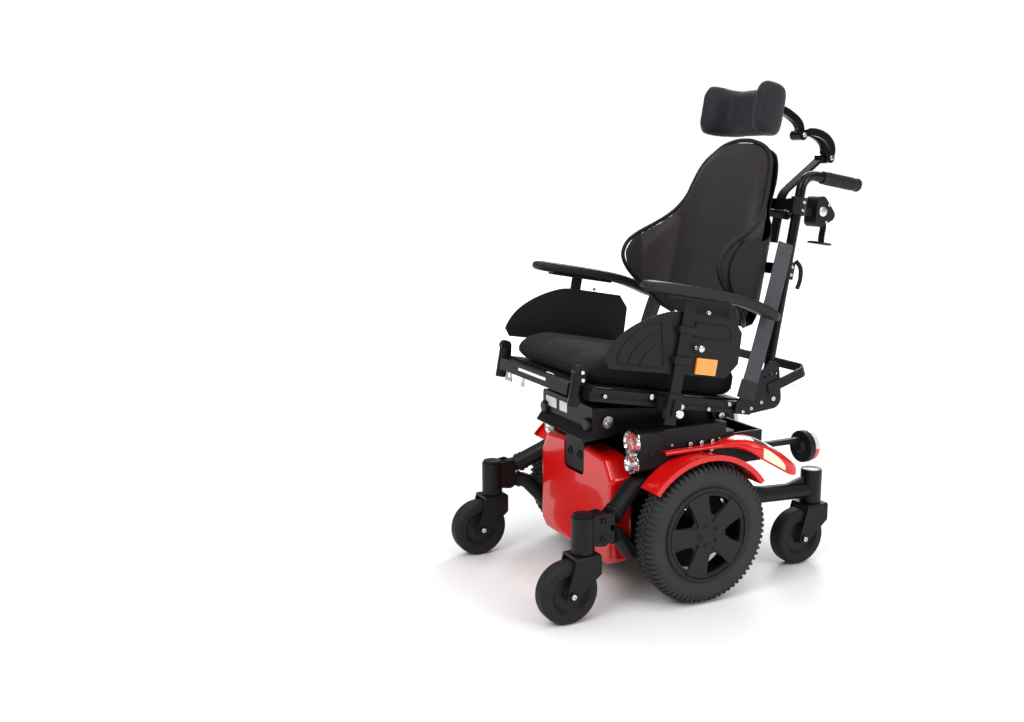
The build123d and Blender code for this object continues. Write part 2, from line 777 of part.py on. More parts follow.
def fender_top():
    """Side line of the cover's top skin: a level ledge that swells and falls to the rear."""
    Line(FENDER_NOSE, FENDER_KNEE)
    Spline(
        FENDER_KNEE,
        FENDER_CREST,
        (196, 376),
        FENDER_TAIL,
        tangents=((1, 0.05), (0.45, -1)),
    )


with BuildPart() as side_shrouds:
    with BuildSketch(side(FENDER_X0)):
        with BuildLine():
            fender_top()
        trace(line_width=SKIN_T)
    extrude(amount=FENDER_X1 - FENDER_X0)
    # outer wall below the top skin, cut clear of the mudguard's lip
    with BuildSketch(side(FENDER_X1 - SKIN_T)):
        with BuildLine():
            fender_top()
            Polyline(FENDER_TAIL, (232, 268), (150, 340), (40, 376), (-108, 376), FENDER_NOSE)
        make_face()
        with Locations((0, WHEEL_R)):
            Circle(MUD_IN + MUD_LIP + 4, mode=Mode.SUBTRACT)
    extrude(amount=SKIN_T)
    mirror(about=Plane.YZ)
save(side_shrouds.part, "side_shrouds")


# ---------------------------------------------------------------- lamps
LAMP_LOW, LAMP_HIGH = 332.0, 432.0
LAMP_FRONT, LAMP_BACK = -150.0, SIDE_FRONT
LENS_T = 18.0
INDICATOR_R, HEADLIGHT_R = 26.0, 21.0


def lens_outline():
    """Figure-of-eight front lens: a round indicator above a smaller headlight."""
    with Locations((-LAMP_X, LAMP_HIGH - 29)):
        Circle(INDICATOR_R)
    with Locations((-LAMP_X, LAMP_LOW + 23)):
        Circle(HEADLIGHT_R)
    with Locations((-LAMP_X, (LAMP_LOW + LAMP_HIGH) / 2 - 4)):
        Rectangle(30, 40)


with BuildPart() as lamp_housings:
    with BuildSketch(front(LAMP_FRONT)):
        with Locations((-LAMP_X, (LAMP_LOW + LAMP_HIGH) / 2)):
            RectangleRounded(LAMP_W, LAMP_HIGH - LAMP_LOW, 12)
    extrude(amount=LAMP_BACK - LAMP_FRONT)
    with BuildSketch(front(REAR_LAMP_Y)):
        with Locations((-REAR_LAMP_X, REAR_LAMP_Z)):
            Circle(REAR_LAMP_R)
    extrude(amount=16)
    mirror(about=Plane.YZ)
save(lamp_housings.part, "lamp_housings")

with BuildPart() as front_lamp_lenses:
    with BuildSketch(front(LAMP_FRONT)):
        lens_outline()
    extrude(amount=-LENS_T)
    fillet(front_lamp_lenses.faces().sort_by(Axis.Y)[0].edges(), radius=6)
    mirror(about=Plane.YZ)
save(front_lamp_lenses.part, "front_lamp_lenses")

with BuildPart() as rear_lamp_lenses:
    with BuildSketch(front(REAR_LAMP_Y + 16)):
        with Locations((-REAR_LAMP_X, REAR_LAMP_Z)):
            Circle(REAR_LAMP_R - 2)
    extrude(amount=20)
    fillet(rear_lamp_lenses.faces().sort_by(Axis.Y)[-1].edges(), radius=7)
    mirror(about=Plane.YZ)
save(rear_lamp_lenses.part, "rear_lamp_lenses")


# ---------------------------------------------------------------- tilt module and strut
PIN_REACH = 18.0
with BuildPart() as tilt_module:
    wall_t = 6.0
    deck_top = DECK_Z + DECK_T
    for x in (-MODULE_HALF, MODULE_HALF - wall_t):
        with BuildSketch(side(x)):
            with BuildLine():
                Polyline(
                    (MODULE_FRONT + 2, deck_top + 14),
                    (MODULE_FRONT + 2, MODULE_TOP),
                    (MODULE_FRONT + 50, MODULE_TOP - 6),
                    (TILT_Y + 6, TILT_Z + 16),
                    (TILT_Y + 22, TILT_Z - 4),
                    (TILT_Y - 10, deck_top),
                    (-120, deck_top),
                    close=True,
                )
            make_face()
        extrude(amount=wall_t)
    with BuildSketch(front(MODULE_FRONT)):
        with Locations((0, (deck_top + 14 + MODULE_TOP) / 2)):
            RectangleRounded(2 * MODULE_HALF, MODULE_TOP - deck_top - 14, 8)
    extrude(amount=20)
    # floor of the module and the bevelled apron below its front
    with BuildSketch(side(-MODULE_HALF)):
        with BuildLine():
            Polyline(
                (MODULE_FRONT + 4, deck_top + 24),
                (MODULE_FRONT - 20, deck_top - 8),
                (MODULE_FRONT - 16, deck_top - 12),
                (-124, deck_top),
                (-90, deck_top),
                (-90, deck_top + 5),
                (-124, deck_top + 5),
                (MODULE_FRONT + 12, deck_top + 18),
                close=True,
            )
        make_face()
    extrude(amount=2 * MODULE_HALF)
    # notch in the floor where the strut leans forward
    with BuildSketch(Plane((0, -90, deck_top - 1))):
        Rectangle(STRUT_SLOT / 2 + 10, 44)
    extrude(amount=7, mode=Mode.SUBTRACT)
    # low side rails on the deck
    for x in (-SIDE_HALF, SIDE_HALF - 34):
        with BuildSketch(Plane((x + 17, 10, deck_top))):
            Rectangle(34, 186)
        extrude(amount=26)
    with BuildSketch(Plane((0, -70, deck_top))):
        Rectangle(2 * SIDE_HALF - 10, 18)
        Rectangle(STRUT_SLOT + 6, 20, mode=Mode.SUBTRACT)
    extrude(amount=5)
    # tilt pins
    for hand in (LEFT, RIGHT):
        with BuildSketch(side(hand * (MODULE_HALF - wall_t), TILT_Y, TILT_Z)):
            Circle(TILT_PIN_R)
        extrude(amount=hand * (wall_t + PIN_REACH))
save(tilt_module.part, "tilt_module")

# Where the strut's eye stands in the base's frame as drawn.
EYE_Y = TILT_Y + STRUT_EYE_Y * cos(radians(TILT)) + STRUT_EYE_Z * sin(radians(TILT))
EYE_Z = TILT_Z - STRUT_EYE_Y * sin(radians(TILT)) + STRUT_EYE_Z * cos(radians(TILT))
STRUT_RUN = Vector(0, EYE_Y - STRUT_FOOT_Y, EYE_Z - STRUT_FOOT_Z)
STRUT_FRAME = Plane(
    origin=(0, AXLE_Y + STRUT_FOOT_Y, STRUT_FOOT_Z), x_dir=(1, 0, 0), z_dir=STRUT_RUN
)
STRUT_R = 17.0
ROD_R = 10.0
BODY_L = 170.0
ROD_START = 50.0  # leaves room for the rod to sink at the forward tilt
EYE_R = 16.0
EYE_BORE_R = 11.5  # open enough for the pin to wander as the seat swings
with BuildPart() as tilt_actuator:
    with BuildSketch(side(-14)):
        Circle(16)
    extrude(amount=28)
    with BuildSketch(Plane.XY.offset(10)):
        Circle(12)
    extrude(amount=14)
    with BuildSketch(Plane.XY.offset(20)):
        Circle(STRUT_R)
    extrude(amount=BODY_L - 20)
    with BuildSketch(Plane.XY.offset(20)):
        with Locations((0, -20)):
            RectangleRounded(30, 34, 8)
    extrude(amount=80)
    with BuildSketch(Plane.XY.offset(30)):
        Circle(ROD_R + RUN)
    extrude(amount=BODY_L, mode=Mode.SUBTRACT)
    with BuildSketch(side(-14)):
        Circle(FOOT_PIN_R + RUN)
    extrude(amount=28, mode=Mode.SUBTRACT)
save(tilt_actuator.part, "tilt_actuator", STRUT_FRAME)

with BuildPart() as tilt_rod:
    with BuildSketch(Plane.XY.offset(ROD_START)):
        Circle(ROD_R)
    extrude(amount=STRUT_RUN.length - ROD_START - EYE_R + 3)
    with BuildSketch(side(-9, 0, STRUT_RUN.length)):
        Circle(EYE_R)
        Circle(EYE_BORE_R, mode=Mode.SUBTRACT)
    extrude(amount=18)
save(tilt_rod.part, "tilt_rod", STRUT_FRAME)

# ---------------------------------------------------------------- base fasteners
with BuildPart() as base_bolts:
    for x, depth in ((SIDE_HALF, 5), (-SIDE_HALF, -5)):
        with BuildSketch(side(x)):
            with Locations((-8, 369), (25, 369), (58, 369)):
                RegularPolygon(7, 6)
        extrude(amount=depth * 0.8)
    for x, depth in ((MODULE_HALF, 9), (-MODULE_HALF, -9)):
        with BuildSketch(side(x)):
            with Locations((MODULE_FRONT + 40, DECK_Z + 40)):
                Circle(15)
        extrude(amount=depth)
save(base_bolts.part, "base_bolts")

# ---------------------------------------------------------------- seat frame
RAIL_TOP = RAIL_LOW + RAIL_H
LUG_IN = MODULE_HALF + 4
with BuildPart() as seat_frame:
    for hand in (LEFT, RIGHT):
        with BuildSketch(front(RAIL_FRONT)):
            with Locations((-hand * RAIL_X, RAIL_LOW + RAIL_H / 2)):
                Rectangle(RAIL_W, RAIL_H)
            with Locations((-hand * (RAIL_X + RAIL_W / 2), RAIL_LOW + RAIL_H / 2)):
                Rectangle(8, 9, mode=Mode.SUBTRACT)
        extrude(amount=RAIL_REAR - RAIL_FRONT)
    for y in (-330.0, -40.0):
        with BuildSketch(Plane((0, y, RAIL_TOP - 9))):
            Rectangle(2 * RAIL_X, 30)
        extrude(amount=9)
    for hand in (LEFT, RIGHT):
        with BuildSketch(side(hand * LUG_IN)):
            Circle(20)
            with Locations((-40, RAIL_TOP - 4)):
                Rectangle(30, 8)
            make_hull()
            Circle(TILT_PIN_R + RUN, mode=Mode.SUBTRACT)
        extrude(amount=hand * 10)
        # clevis over the strut's eye, open so that the eye swings freely
        with BuildSketch(side(hand * 11)):
            with Locations((STRUT_EYE_Y, STRUT_EYE_Z)):
                Circle(13)
            with Locations((STRUT_EYE_Y - 7, RAIL_TOP - 4)):
                Rectangle(30, 6)
            make_hull()
        extrude(amount=hand * 6)
    with BuildSketch(side(-12, STRUT_EYE_Y, STRUT_EYE_Z)):
        Circle(5)
    extrude(amount=24)
    with BuildSketch(Plane((0, CROSSBAR_Y, RAIL_LOW))):
        Rectangle(2 * (RECEIVER_X - RECEIVER_R), RAIL_W)
    extrude(amount=RAIL_H)
    for hand in (LEFT, RIGHT):
        with BuildSketch(Plane((hand * RAIL_X * 0.72, RAIL_FRONT + 8, RAIL_LOW))):
            Rectangle(RAIL_X * 0.5, 22)
        extrude(amount=RAIL_H)
save(seat_frame.part, "seat_frame", SEAT)

with BuildPart() as seat_pan:
    with BuildSketch(Plane((0, (RAIL_FRONT + RAIL_REAR) / 2 - 4, RAIL_TOP))):
        Rectangle(2 * RAIL_X - 30, RAIL_REAR - RAIL_FRONT - 16)
        fillet(vertices(), 14)
        with GridLocations(90, 110, 4, 3):
            SlotOverall(60, 16, mode=Mode.SUBTRACT)
    extrude(amount=PAN_T)
save(seat_pan.part, "seat_pan", SEAT)

CUSHION_LOW = RAIL_TOP + PAN_T + 0.5
with BuildPart() as seat_cushion:
    with BuildSketch(side(-CUSHION_W / 2)):
        with BuildLine():
            Polyline(
                (CUSHION_REAR, CUSHION_LOW),
                (CUSHION_REAR, CUSHION_LOW + CUSHION_H - 6),
            )
            Spline(
                (CUSHION_REAR, CUSHION_LOW + CUSHION_H - 6),
                (CUSHION_REAR - 150, CUSHION_LOW + CUSHION_H - 14),
                (CUSHION_FRONT + 60, CUSHION_LOW + CUSHION_H),
                (CUSHION_FRONT, CUSHION_LOW + CUSHION_H - 36),
                tangents=((-1, 0), (0, -1)),
            )
            Polyline(
                (CUSHION_FRONT, CUSHION_LOW + CUSHION_H - 36),
                (CUSHION_FRONT, CUSHION_LOW),
                (CUSHION_REAR, CUSHION_LOW),
            )
        make_face()
    extrude(amount=CUSHION_W)
    upright = seat_cushion.edges().filter_by(Axis.Z)
    fillet(upright, radius=22)
save(seat_cushion.part, "seat_cushion", SEAT)

with BuildPart() as legrest_receivers:
    low, high = 0.0, 78.0
    with BuildSketch(Plane((RECEIVER_X, CROSSBAR_Y, low))):
        Circle(RECEIVER_R)
    extrude(amount=high - low)
    with BuildSketch(side(RECEIVER_X - 10)):
        with Locations((CROSSBAR_Y, high + 6)):
            Circle(14)
        with Locations((CROSSBAR_Y + 9, RAIL_TOP + 4)):
            Rectangle(16, 8)
        make_hull()
    extrude(amount=20)
    with BuildSketch(side(RECEIVER_X + 10)):
        with Locations((CROSSBAR_Y + 5, high + 4), (CROSSBAR_Y + 9, high - 14)):
            Circle(5)
    extrude(amount=3)
    with BuildSketch(Plane((RECEIVER_X, CROSSBAR_Y, low))):
        Circle(RECEIVER_BORE_R)
    extrude(amount=high - low - 8, mode=Mode.SUBTRACT)
    mirror(about=Plane.YZ)
save(legrest_receivers.part, "legrest_receivers", SEAT)

with BuildPart() as seat_fasteners:
    # silver bolts on the rails' outer faces
    for x, out in ((RAIL_X + RAIL_W / 2, 5), (-RAIL_X - RAIL_W / 2, -5)):
        with BuildSketch(side(x)):
            with Locations((-290, RAIL_TOP - 7), (-200, RAIL_LOW + 6)):
                RegularPolygon(7, 6)
        extrude(amount=out)
    # thumbscrews under the crossbar
    for x in (-162.0, -140.0, -66.0):
        with BuildSketch(Plane((x, CROSSBAR_Y, RAIL_LOW))):
            Circle(3)
        extrude(amount=-16)
        with BuildSketch(Plane((x, CROSSBAR_Y, RAIL_LOW - 16))):
            Rectangle(16, 4)
            Circle(4)
        extrude(amount=-9)
save(seat_fasteners.part, "seat_fasteners", SEAT)

# ---------------------------------------------------------------- armrests
SOCKET_LOW, SOCKET_TOP = 2.0, 62.0
POST_LOW = -14.0
POST_IN = POST_X - POST_T / 2
POST_OUT = POST_X + POST_T / 2
with BuildPart() as armrest_sockets:
    with BuildSketch(Plane((POST_X, POST_Y, SOCKET_LOW))):
        Rectangle(POST_T + 10, POST_W + 10)
        Rectangle(POST_T + 2 * SLIP, POST_W + 2 * SLIP, mode=Mode.SUBTRACT)
    extrude(amount=SOCKET_TOP - SOCKET_LOW)
    bracket_in = RAIL_X + RAIL_W / 2
    bracket_out = POST_X - POST_T / 2 - 5
    with BuildSketch(Plane(((bracket_in + bracket_out) / 2, POST_Y, RAIL_LOW + 2))):
        Rectangle(bracket_out - bracket_in, 60)
    extrude(amount=RAIL_H - 4)
    # cam lever that clamps the post
    with BuildSketch(side(POST_X + POST_T / 2 + 5, POST_Y, SOCKET_LOW + 12)):
        Circle(7)
        with Locations((0, 30)):
            Circle(5)
        make_hull()
    extrude(amount=5)
    mirror(about=Plane.YZ)
save(armrest_sockets.part, "armrest_sockets", SEAT)


def armrest_post():
    """Flat bar that slides in the socket, with a foot under the pad."""
    with BuildPart() as post:
        with BuildSketch(Plane((POST_X, POST_Y, POST_LOW))):
            Rectangle(POST_T, POST_W)
        extrude(amount=POST_TOP - POST_LOW)
        with BuildSketch(Plane((POST_X + 1, POST_Y + 10, POST_TOP - 5))):
            RectangleRounded(40, 190, 8)
        extrude(amount=5)
    return post.part


def armrest_pad():
    """Moulded pad whose rear end droops."""
    top = POST_TOP + PAD_H
    with BuildPart() as pad:
        with BuildSketch(side(POST_X + 2 - PAD_W / 2)):
            with BuildLine():
                Line((PAD_FRONT, POST_TOP + 8), (PAD_FRONT, top - 8))
                Spline(
                    (PAD_FRONT, top - 8),
                    (PAD_FRONT + 26, top - 1),
                    (POST_Y + 20, top),
                    (PAD_REAR - 90, top - 3),
                    (PAD_REAR, top - 32),
                )
                Line((PAD_REAR, top - 32), (PAD_REAR, top - 50))
                Spline((PAD_REAR, top - 50), (PAD_REAR - 80, POST_TOP - 2), (POST_Y + 90, POST_TOP))
                Line((POST_Y + 90, POST_TOP), (PAD_FRONT + 20, POST_TOP))
                Line((PAD_FRONT + 20, POST_TOP), (PAD_FRONT, POST_TOP + 8))
            make_face()
        extrude(amount=PAD_W)
        fillet(pad.edges().filter_by(Axis.Z), radius=8)
    return pad.part


def side_guard():
    """Moulded side panel: quarter-ellipse front, rounded rear panel, ribs and post clips."""
    low, high = 104.0, 256.0
    tip, peak, rear = -448.0, -251.0, -74.0
    clip_z = (135.0, 208.0)
    with BuildPart() as guard:
        with BuildSketch(side(GUARD_X - GUARD_PANEL_T / 2)):
            with BuildLine():
                Line((tip + 16, low), (tip, low + 20))
                Spline(
                    (tip, low + 20),
                    (tip + 38, low + 84),
                    (peak - 60, high - 10),
                    (peak, high),
                    tangents=((10, 40), (1, 0)),
                )
                Polyline((peak, high), (rear - 30, high), (rear, high - 32), (rear + 4, low + 44))
                Polyline((rear + 4, low + 44), (rear - 26, low + 6), (tip + 16, low))
            make_face()
        extrude(amount=GUARD_PANEL_T)
        # three raised arcs on the outer face of the front part
        with BuildSketch(side(GUARD_X + GUARD_PANEL_T / 2)):
            for scale in (0.86, 0.66, 0.46):
                reach_y = (peak - tip - 34) * scale
                reach_z = (high - low - 20) * scale
                with BuildLine() as rib:
                    EllipticalCenterArc(
                        (peak - 26, low + 10), reach_y, reach_z, start_angle=104, arc_size=68
                    )
                trace(line_width=4)
        extrude(amount=1.5)
        for z in clip_z:
            with BuildSketch(Plane((POST_X, POST_Y, z))):
                Rectangle(POST_T + 2 * SLIP + 5, POST_W + 2 * SLIP + 8)
                Rectangle(POST_T + 2 * SLIP, POST_W + 2 * SLIP, mode=Mode.SUBTRACT)
            extrude(amount=16)
    return guard.part


for hand, name in HANDS:
    save_hand(armrest_post(), f"armrest_post_{name}", hand, SEAT)
    save_hand(armrest_pad(), f"armrest_pad_{name}", hand, SEAT)
    save_hand(side_guard(), f"side_guard_{name}", hand, SEAT)

# ---------------------------------------------------------------- recline brackets and loop
RECLINE_PIN_R = 8.0
BRACKET_X = RAIL_X + RAIL_W / 2
with BuildPart() as recline_brackets:
    with BuildSketch(side(BRACKET_X)):
        with Locations((RECLINE_Y, RECLINE_Z)):
            Circle(26)
        with Locations((-20, RAIL_LOW + RAIL_H / 2)):
            Rectangle(40, RAIL_H - 4)
        with Locations((RECLINE_Y - 16, RECLINE_Z + 74)):
            Circle(20)
        make_hull()
        with Locations((RECLINE_Y, RECLINE_Z)):
            with PolarLocations(64, 5, start_angle=78, angular_range=60):
                Circle(3.5, mode=Mode.SUBTRACT)
    extrude(amount=6)
    with BuildSketch(side(BRACKET_X, RECLINE_Y, RECLINE_Z)):
        Circle(RECLINE_PIN_R)
    extrude(amount=-(BRACKET_X - CANE_X + 14))
    mirror(about=Plane.YZ)
save(recline_brackets.part, "recline_brackets", SEAT)

LOOP_X = BRACKET_X + 6
LOOP_RISE = 28.0
LOOP_PLANE = Plane(
    origin=(0, RECLINE_Y - 22, RECLINE_Z + 22),
    x_dir=(1, 0, 0),
    z_dir=(0, -sin(radians(LOOP_RISE)), cos(radians(LOOP_RISE))),
)
LOOP_L = 132.0
with BuildPart() as rear_loop:
    with BuildSketch(LOOP_PLANE):
        with Locations((0, LOOP_L / 2)):
            RectangleRounded(2 * LOOP_X + 8, LOOP_L, 26)
            RectangleRounded(2 * LOOP_X, LOOP_L - 8, 22, mode=Mode.SUBTRACT)
        Rectangle(2 * LOOP_X - 1, 60, mode=Mode.SUBTRACT)
        with Locations((0, 3)):
            Rectangle(2 * LOOP_X + 20, 60, mode=Mode.SUBTRACT)
    extrude(amount=13, both=True)
    with BuildSketch(LOOP_PLANE):
        for hand in (LEFT, RIGHT):
            with Locations((hand * (LOOP_X + 2), 46)):
                Rectangle(4, 92)
    extrude(amount=13, both=True)
save(rear_loop.part, "rear_loop", SEAT)

# ---------------------------------------------------------------- back frame
CLAMP_ZS = (393.0, 556.0)
SHELL_BACK = BACK_FRONT + BACK_THICK + 5
with BuildPart() as back_frame:
    lug_top = RECLINE_Z + 44
    with BuildSketch(side(CANE_X - 8)):
        with Locations((RECLINE_Y, RECLINE_Z)):
            Circle(20)
        with Locations((CANE_Y, lug_top)):
            Rectangle(2 * CANE_R, 20)
        make_hull()
    extrude(amount=16)
    with BuildLine() as cane_path:
        FilletPolyline(
            (CANE_X, CANE_Y, lug_top - 6),
            (CANE_X, CANE_Y, HANDLE_Z),
            (CANE_X, HANDLE_REAR - 4, HANDLE_Z),
            radius=38,
        )
    with BuildSketch(Plane((CANE_X, CANE_Y, lug_top - 6))):
        Circle(CANE_R)
    sweep(path=cane_path.line)
    for z in CLAMP_ZS:
        with BuildSketch(Plane((CANE_X, CANE_Y, z - 16))):
            Circle(CANE_R + 5)
            with Locations((0, -14)):
                Rectangle(24, 24)
        extrude(amount=32)
    with BuildSketch(side(CANE_X - 8, RECLINE_Y, RECLINE_Z)):
        Circle(RECLINE_PIN_R + RUN)
    extrude(amount=16, mode=Mode.SUBTRACT)
    mirror(about=Plane.YZ)
    for z in CLAMP_ZS:
        with BuildSketch(Plane((0, SHELL_BACK + 6, z - 14))):
            Rectangle(2 * CANE_X, 8)
        extrude(amount=28)
    # standoff with the slot that guides the headrest bar
    with BuildSketch(Plane((0, (SHELL_BACK + HEAD_BAR_Y + 12) / 2 + 4, CLAMP_ZS[1] - 24))):
        Rectangle(46, HEAD_BAR_Y + 20 - SHELL_BACK)
    extrude(amount=36)
    with BuildSketch(Plane((0, HEAD_BAR_Y, CLAMP_ZS[1] - 30))):
        Rectangle(HEAD_BAR_W + 2 * SLIP, HEAD_BAR_T + 2 * SLIP)
    extrude(amount=60, mode=Mode.SUBTRACT)
save(back_frame.part, "back_frame", SEAT)

GRIP_L = 118.0
with BuildPart() as push_grips:
    with BuildSketch(front(HANDLE_REAR - GRIP_L)):
        with Locations((-CANE_X, HANDLE_Z)):
            Circle(GRIP_R)
    extrude(amount=GRIP_L)
    with BuildSketch(front(HANDLE_REAR - GRIP_L)):
        with Locations((-CANE_X, HANDLE_Z)):
            Circle(CANE_R)
    extrude(amount=GRIP_L - 4, mode=Mode.SUBTRACT)
    mirror(about=Plane.YZ)
save(push_grips.part, "push_grips", SEAT)


# ---------------------------------------------------------------- back cushion and shell
def back_plan(outer_only, grow=0.0):
    """Plan of the contoured back: a gently curved middle with wings that run forward."""
    half = BACK_HALF + grow
    rear = BACK_FRONT + BACK_THICK + grow
    inner = half - WING_T - grow
    tip = WING_FRONT - 20
    with BuildLine() as outline:
        if outer_only:
            FilletPolyline(
                (-half, tip),
                (-half, 6),
                (-120, rear),
                (120, rear),
                (half, 6),
                (half, tip),
                radius=60,
            )
            Line((half, tip), (-half, tip))
        else:
            FilletPolyline(
                (-inner, tip),
                (-inner, -22),
                (-100, BACK_FRONT),
                (100, BACK_FRONT),
                (inner, -22),
                (inner, tip),
                radius=40,
            )
            Line((inner, tip), (-inner, tip))
    make_face(outline.edges())


def back_face(shrink=0.0):
    """Front view of the keyhole-shaped back, seen along Y."""
    waist, wing = 152 - shrink, BACK_HALF + 10 - shrink
    top, low = BACK_TOP - shrink, BACK_LOW + shrink
    right = (
        (0, top),
        (96 - shrink, top - 14),
        (158 - shrink, top - 58),
        (170 - shrink, top - 108),
        (waist + 6, top - 168),
        (186 - shrink, top - 206),
        (wing, top - 262),
        (wing, low + 60),
        (180 - shrink, low + 12),
        (120, low),
    )
    with BuildLine() as outline:
        Spline(*right[:6])
        Polyline(right[5], right[6], right[7], right[8], right[9], (0, low))
        Spline(*((-x, z) for x, z in right[:6]))
        Polyline(*((-x, z) for x, z in right[5:]), (0, low))
    make_face(outline.edges())


def wing_side(front_at):
    """Side view that trims the wings' front edge to a rounded bulge."""
    with BuildLine() as outline:
        Spline(
            (BACK_FRONT - 14, BACK_TOP + 10),
            (BACK_FRONT - 26, BACK_TOP - 190),
            (front_at + 40, 462),
            (front_at, 375),
            (front_at + 46, 288),
            (BACK_FRONT - 20, BACK_LOW - 10),
        )
        Polyline(
            (BACK_FRONT - 20, BACK_LOW - 10),
            (120, BACK_LOW - 10),
            (120, BACK_TOP + 10),
            (BACK_FRONT - 14, BACK_TOP + 10),
        )
    make_face(outline.edges())


with BuildPart() as back_cushion:
    with BuildSketch(Plane.XY.offset(BACK_LOW)):
        back_plan(outer_only=True)
    extrude(amount=BACK_TOP - BACK_LOW)
    with BuildSketch(Plane.XY.offset(BACK_LOW - 1)):
        back_plan(outer_only=False)
    extrude(amount=BACK_TOP - BACK_LOW + 2, mode=Mode.SUBTRACT)
    with BuildSketch(front(-300)):
        back_face()
    extrude(amount=600, mode=Mode.INTERSECT)
    with BuildSketch(side(-300)):
        wing_side(WING_FRONT)
    extrude(amount=600, mode=Mode.INTERSECT)
save(back_cushion.part, "back_cushion", SEAT)

SHELL_GAP, SHELL_T = 0.5, 4.0
with BuildPart() as back_shell:
    with BuildSketch(Plane.XY.offset(BACK_LOW)):
        back_plan(outer_only=True, grow=SHELL_GAP + SHELL_T)
    extrude(amount=BACK_TOP - BACK_LOW)
    with BuildSketch(Plane.XY.offset(BACK_LOW - 1)):
        back_plan(outer_only=True, grow=SHELL_GAP)
    extrude(amount=BACK_TOP - BACK_LOW + 2, mode=Mode.SUBTRACT)
    with BuildSketch(front(-300)):
        back_face(shrink=6)
    extrude(amount=600, mode=Mode.INTERSECT)
    with BuildSketch(side(-300)):
        wing_side(WING_FRONT + 34)
    extrude(amount=600, mode=Mode.INTERSECT)
save(back_shell.part, "back_shell", SEAT)

# ---------------------------------------------------------------- harness straps and reel
STRAP_W, STRAP_T = 48.0, 2.5
STRAP_TOP = (234.0, 38.0, 462.0)
STRAP_LOW = (257.5, -20.0, 62.0)
with BuildPart() as harness_straps:
    for x, y, z in (STRAP_LOW, STRAP_TOP):
        with BuildSketch(Plane((x, y, z))):
            Rectangle(STRAP_T, STRAP_W)
    loft()
    mirror(about=Plane.YZ)
save(harness_straps.part, "harness_straps", SEAT)

with BuildPart() as belt_reel:
    reel_x = 66.0
    with BuildSketch(side(reel_x - 24)):
        with Locations((258, 588)):
            Circle(18)
        with Locations((292, 560)):
            Circle(16)
        with Locations((262, 540)):
            Circle(16)
        make_hull()
    extrude(amount=48)
    with BuildSketch(side(reel_x - 8)):
        with Locations((165, 560)):
            Rectangle(190, 22)
    extrude(amount=16)
    with BuildSketch(side(reel_x - 300)):
        with Locations((0, 500)):
            Rectangle(2 * (SHELL_BACK + 10), 300)
    extrude(amount=600, mode=Mode.SUBTRACT)
save(belt_reel.part, "belt_reel", SEAT)

# ---------------------------------------------------------------- headrest
with BuildPart() as headrest_bar:
    with BuildSketch(side(-HEAD_BAR_W / 2)):
        with BuildLine() as bar_line:
            FilletPolyline(
                (HEAD_BAR_Y, 466),
                (HEAD_BAR_Y, 600),
                (LINK_LOW_Y - 18, LINK_LOW_Z - 4),
                radius=50,
            )
        trace(line_width=HEAD_BAR_T)
    extrude(amount=HEAD_BAR_W)
    with BuildSketch(side(-10, LINK_LOW_Y, LINK_LOW_Z)):
        Circle(LINK_BOSS_R)
        with Locations((-24, -8)):
            Rectangle(14, 20)
        make_hull()
    extrude(amount=20)
    with BuildSketch(side(-24, LINK_LOW_Y, LINK_LOW_Z)):
        Circle(5)
    extrude(amount=48)
save(headrest_bar.part, "headrest_bar", SEAT)


def link_plate(points, x_from, thick, pin_end):
    """Curved link between two pivots: a bent strip with an eye at each end."""
    first, last = points[0], points[-1]
    with BuildSketch(side(x_from)) as plate:
        with BuildLine():
            Spline(*points)
        trace(line_width=20)
        with Locations(first, last):
            Circle(LINK_BOSS_R)
        with Locations(pin_end):
            Circle(5 + RUN, mode=Mode.SUBTRACT)
    extrude(plate.sketch, amount=thick)


with BuildPart() as headrest_link_rear:
    rear_points = (
        (LINK_LOW_Y, LINK_LOW_Z),
        (LINK_LOW_Y - 2, LINK_LOW_Z + 32),
        (LINK_LOW_Y - 42, LINK_LOW_Z + 56),
        (LINK_TOP_Y, LINK_TOP_Z),
    )
    for start in (-20, 11):
        link_plate(rear_points, start, 9, rear_points[0])
    with BuildSketch(side(-12, LINK_LOW_Y - 56, LINK_LOW_Z + 57)):
        Circle(7)
    extrude(amount=24)
    with BuildSketch(side(-22, LINK_TOP_Y, LINK_TOP_Z)):
        Circle(5)
    extrude(amount=44)
save(headrest_link_rear.part, "headrest_link_rear", SEAT)

with BuildPart() as headrest_link_front:
    front_points = (
        (BALL_Y, BALL_Z),
        (BALL_Y + 40, BALL_Z + 22),
        (LINK_TOP_Y - 36, LINK_TOP_Z + 44),
        (LINK_TOP_Y - 6, LINK_TOP_Z + 26),
        (LINK_TOP_Y, LINK_TOP_Z),
    )
    link_plate(front_points, -9, 18, front_points[-1])
    with BuildSketch(side(-24, BALL_Y, BALL_Z)):
        Circle(5)
    extrude(amount=48)
save(headrest_link_front.part, "headrest_link_front", SEAT)

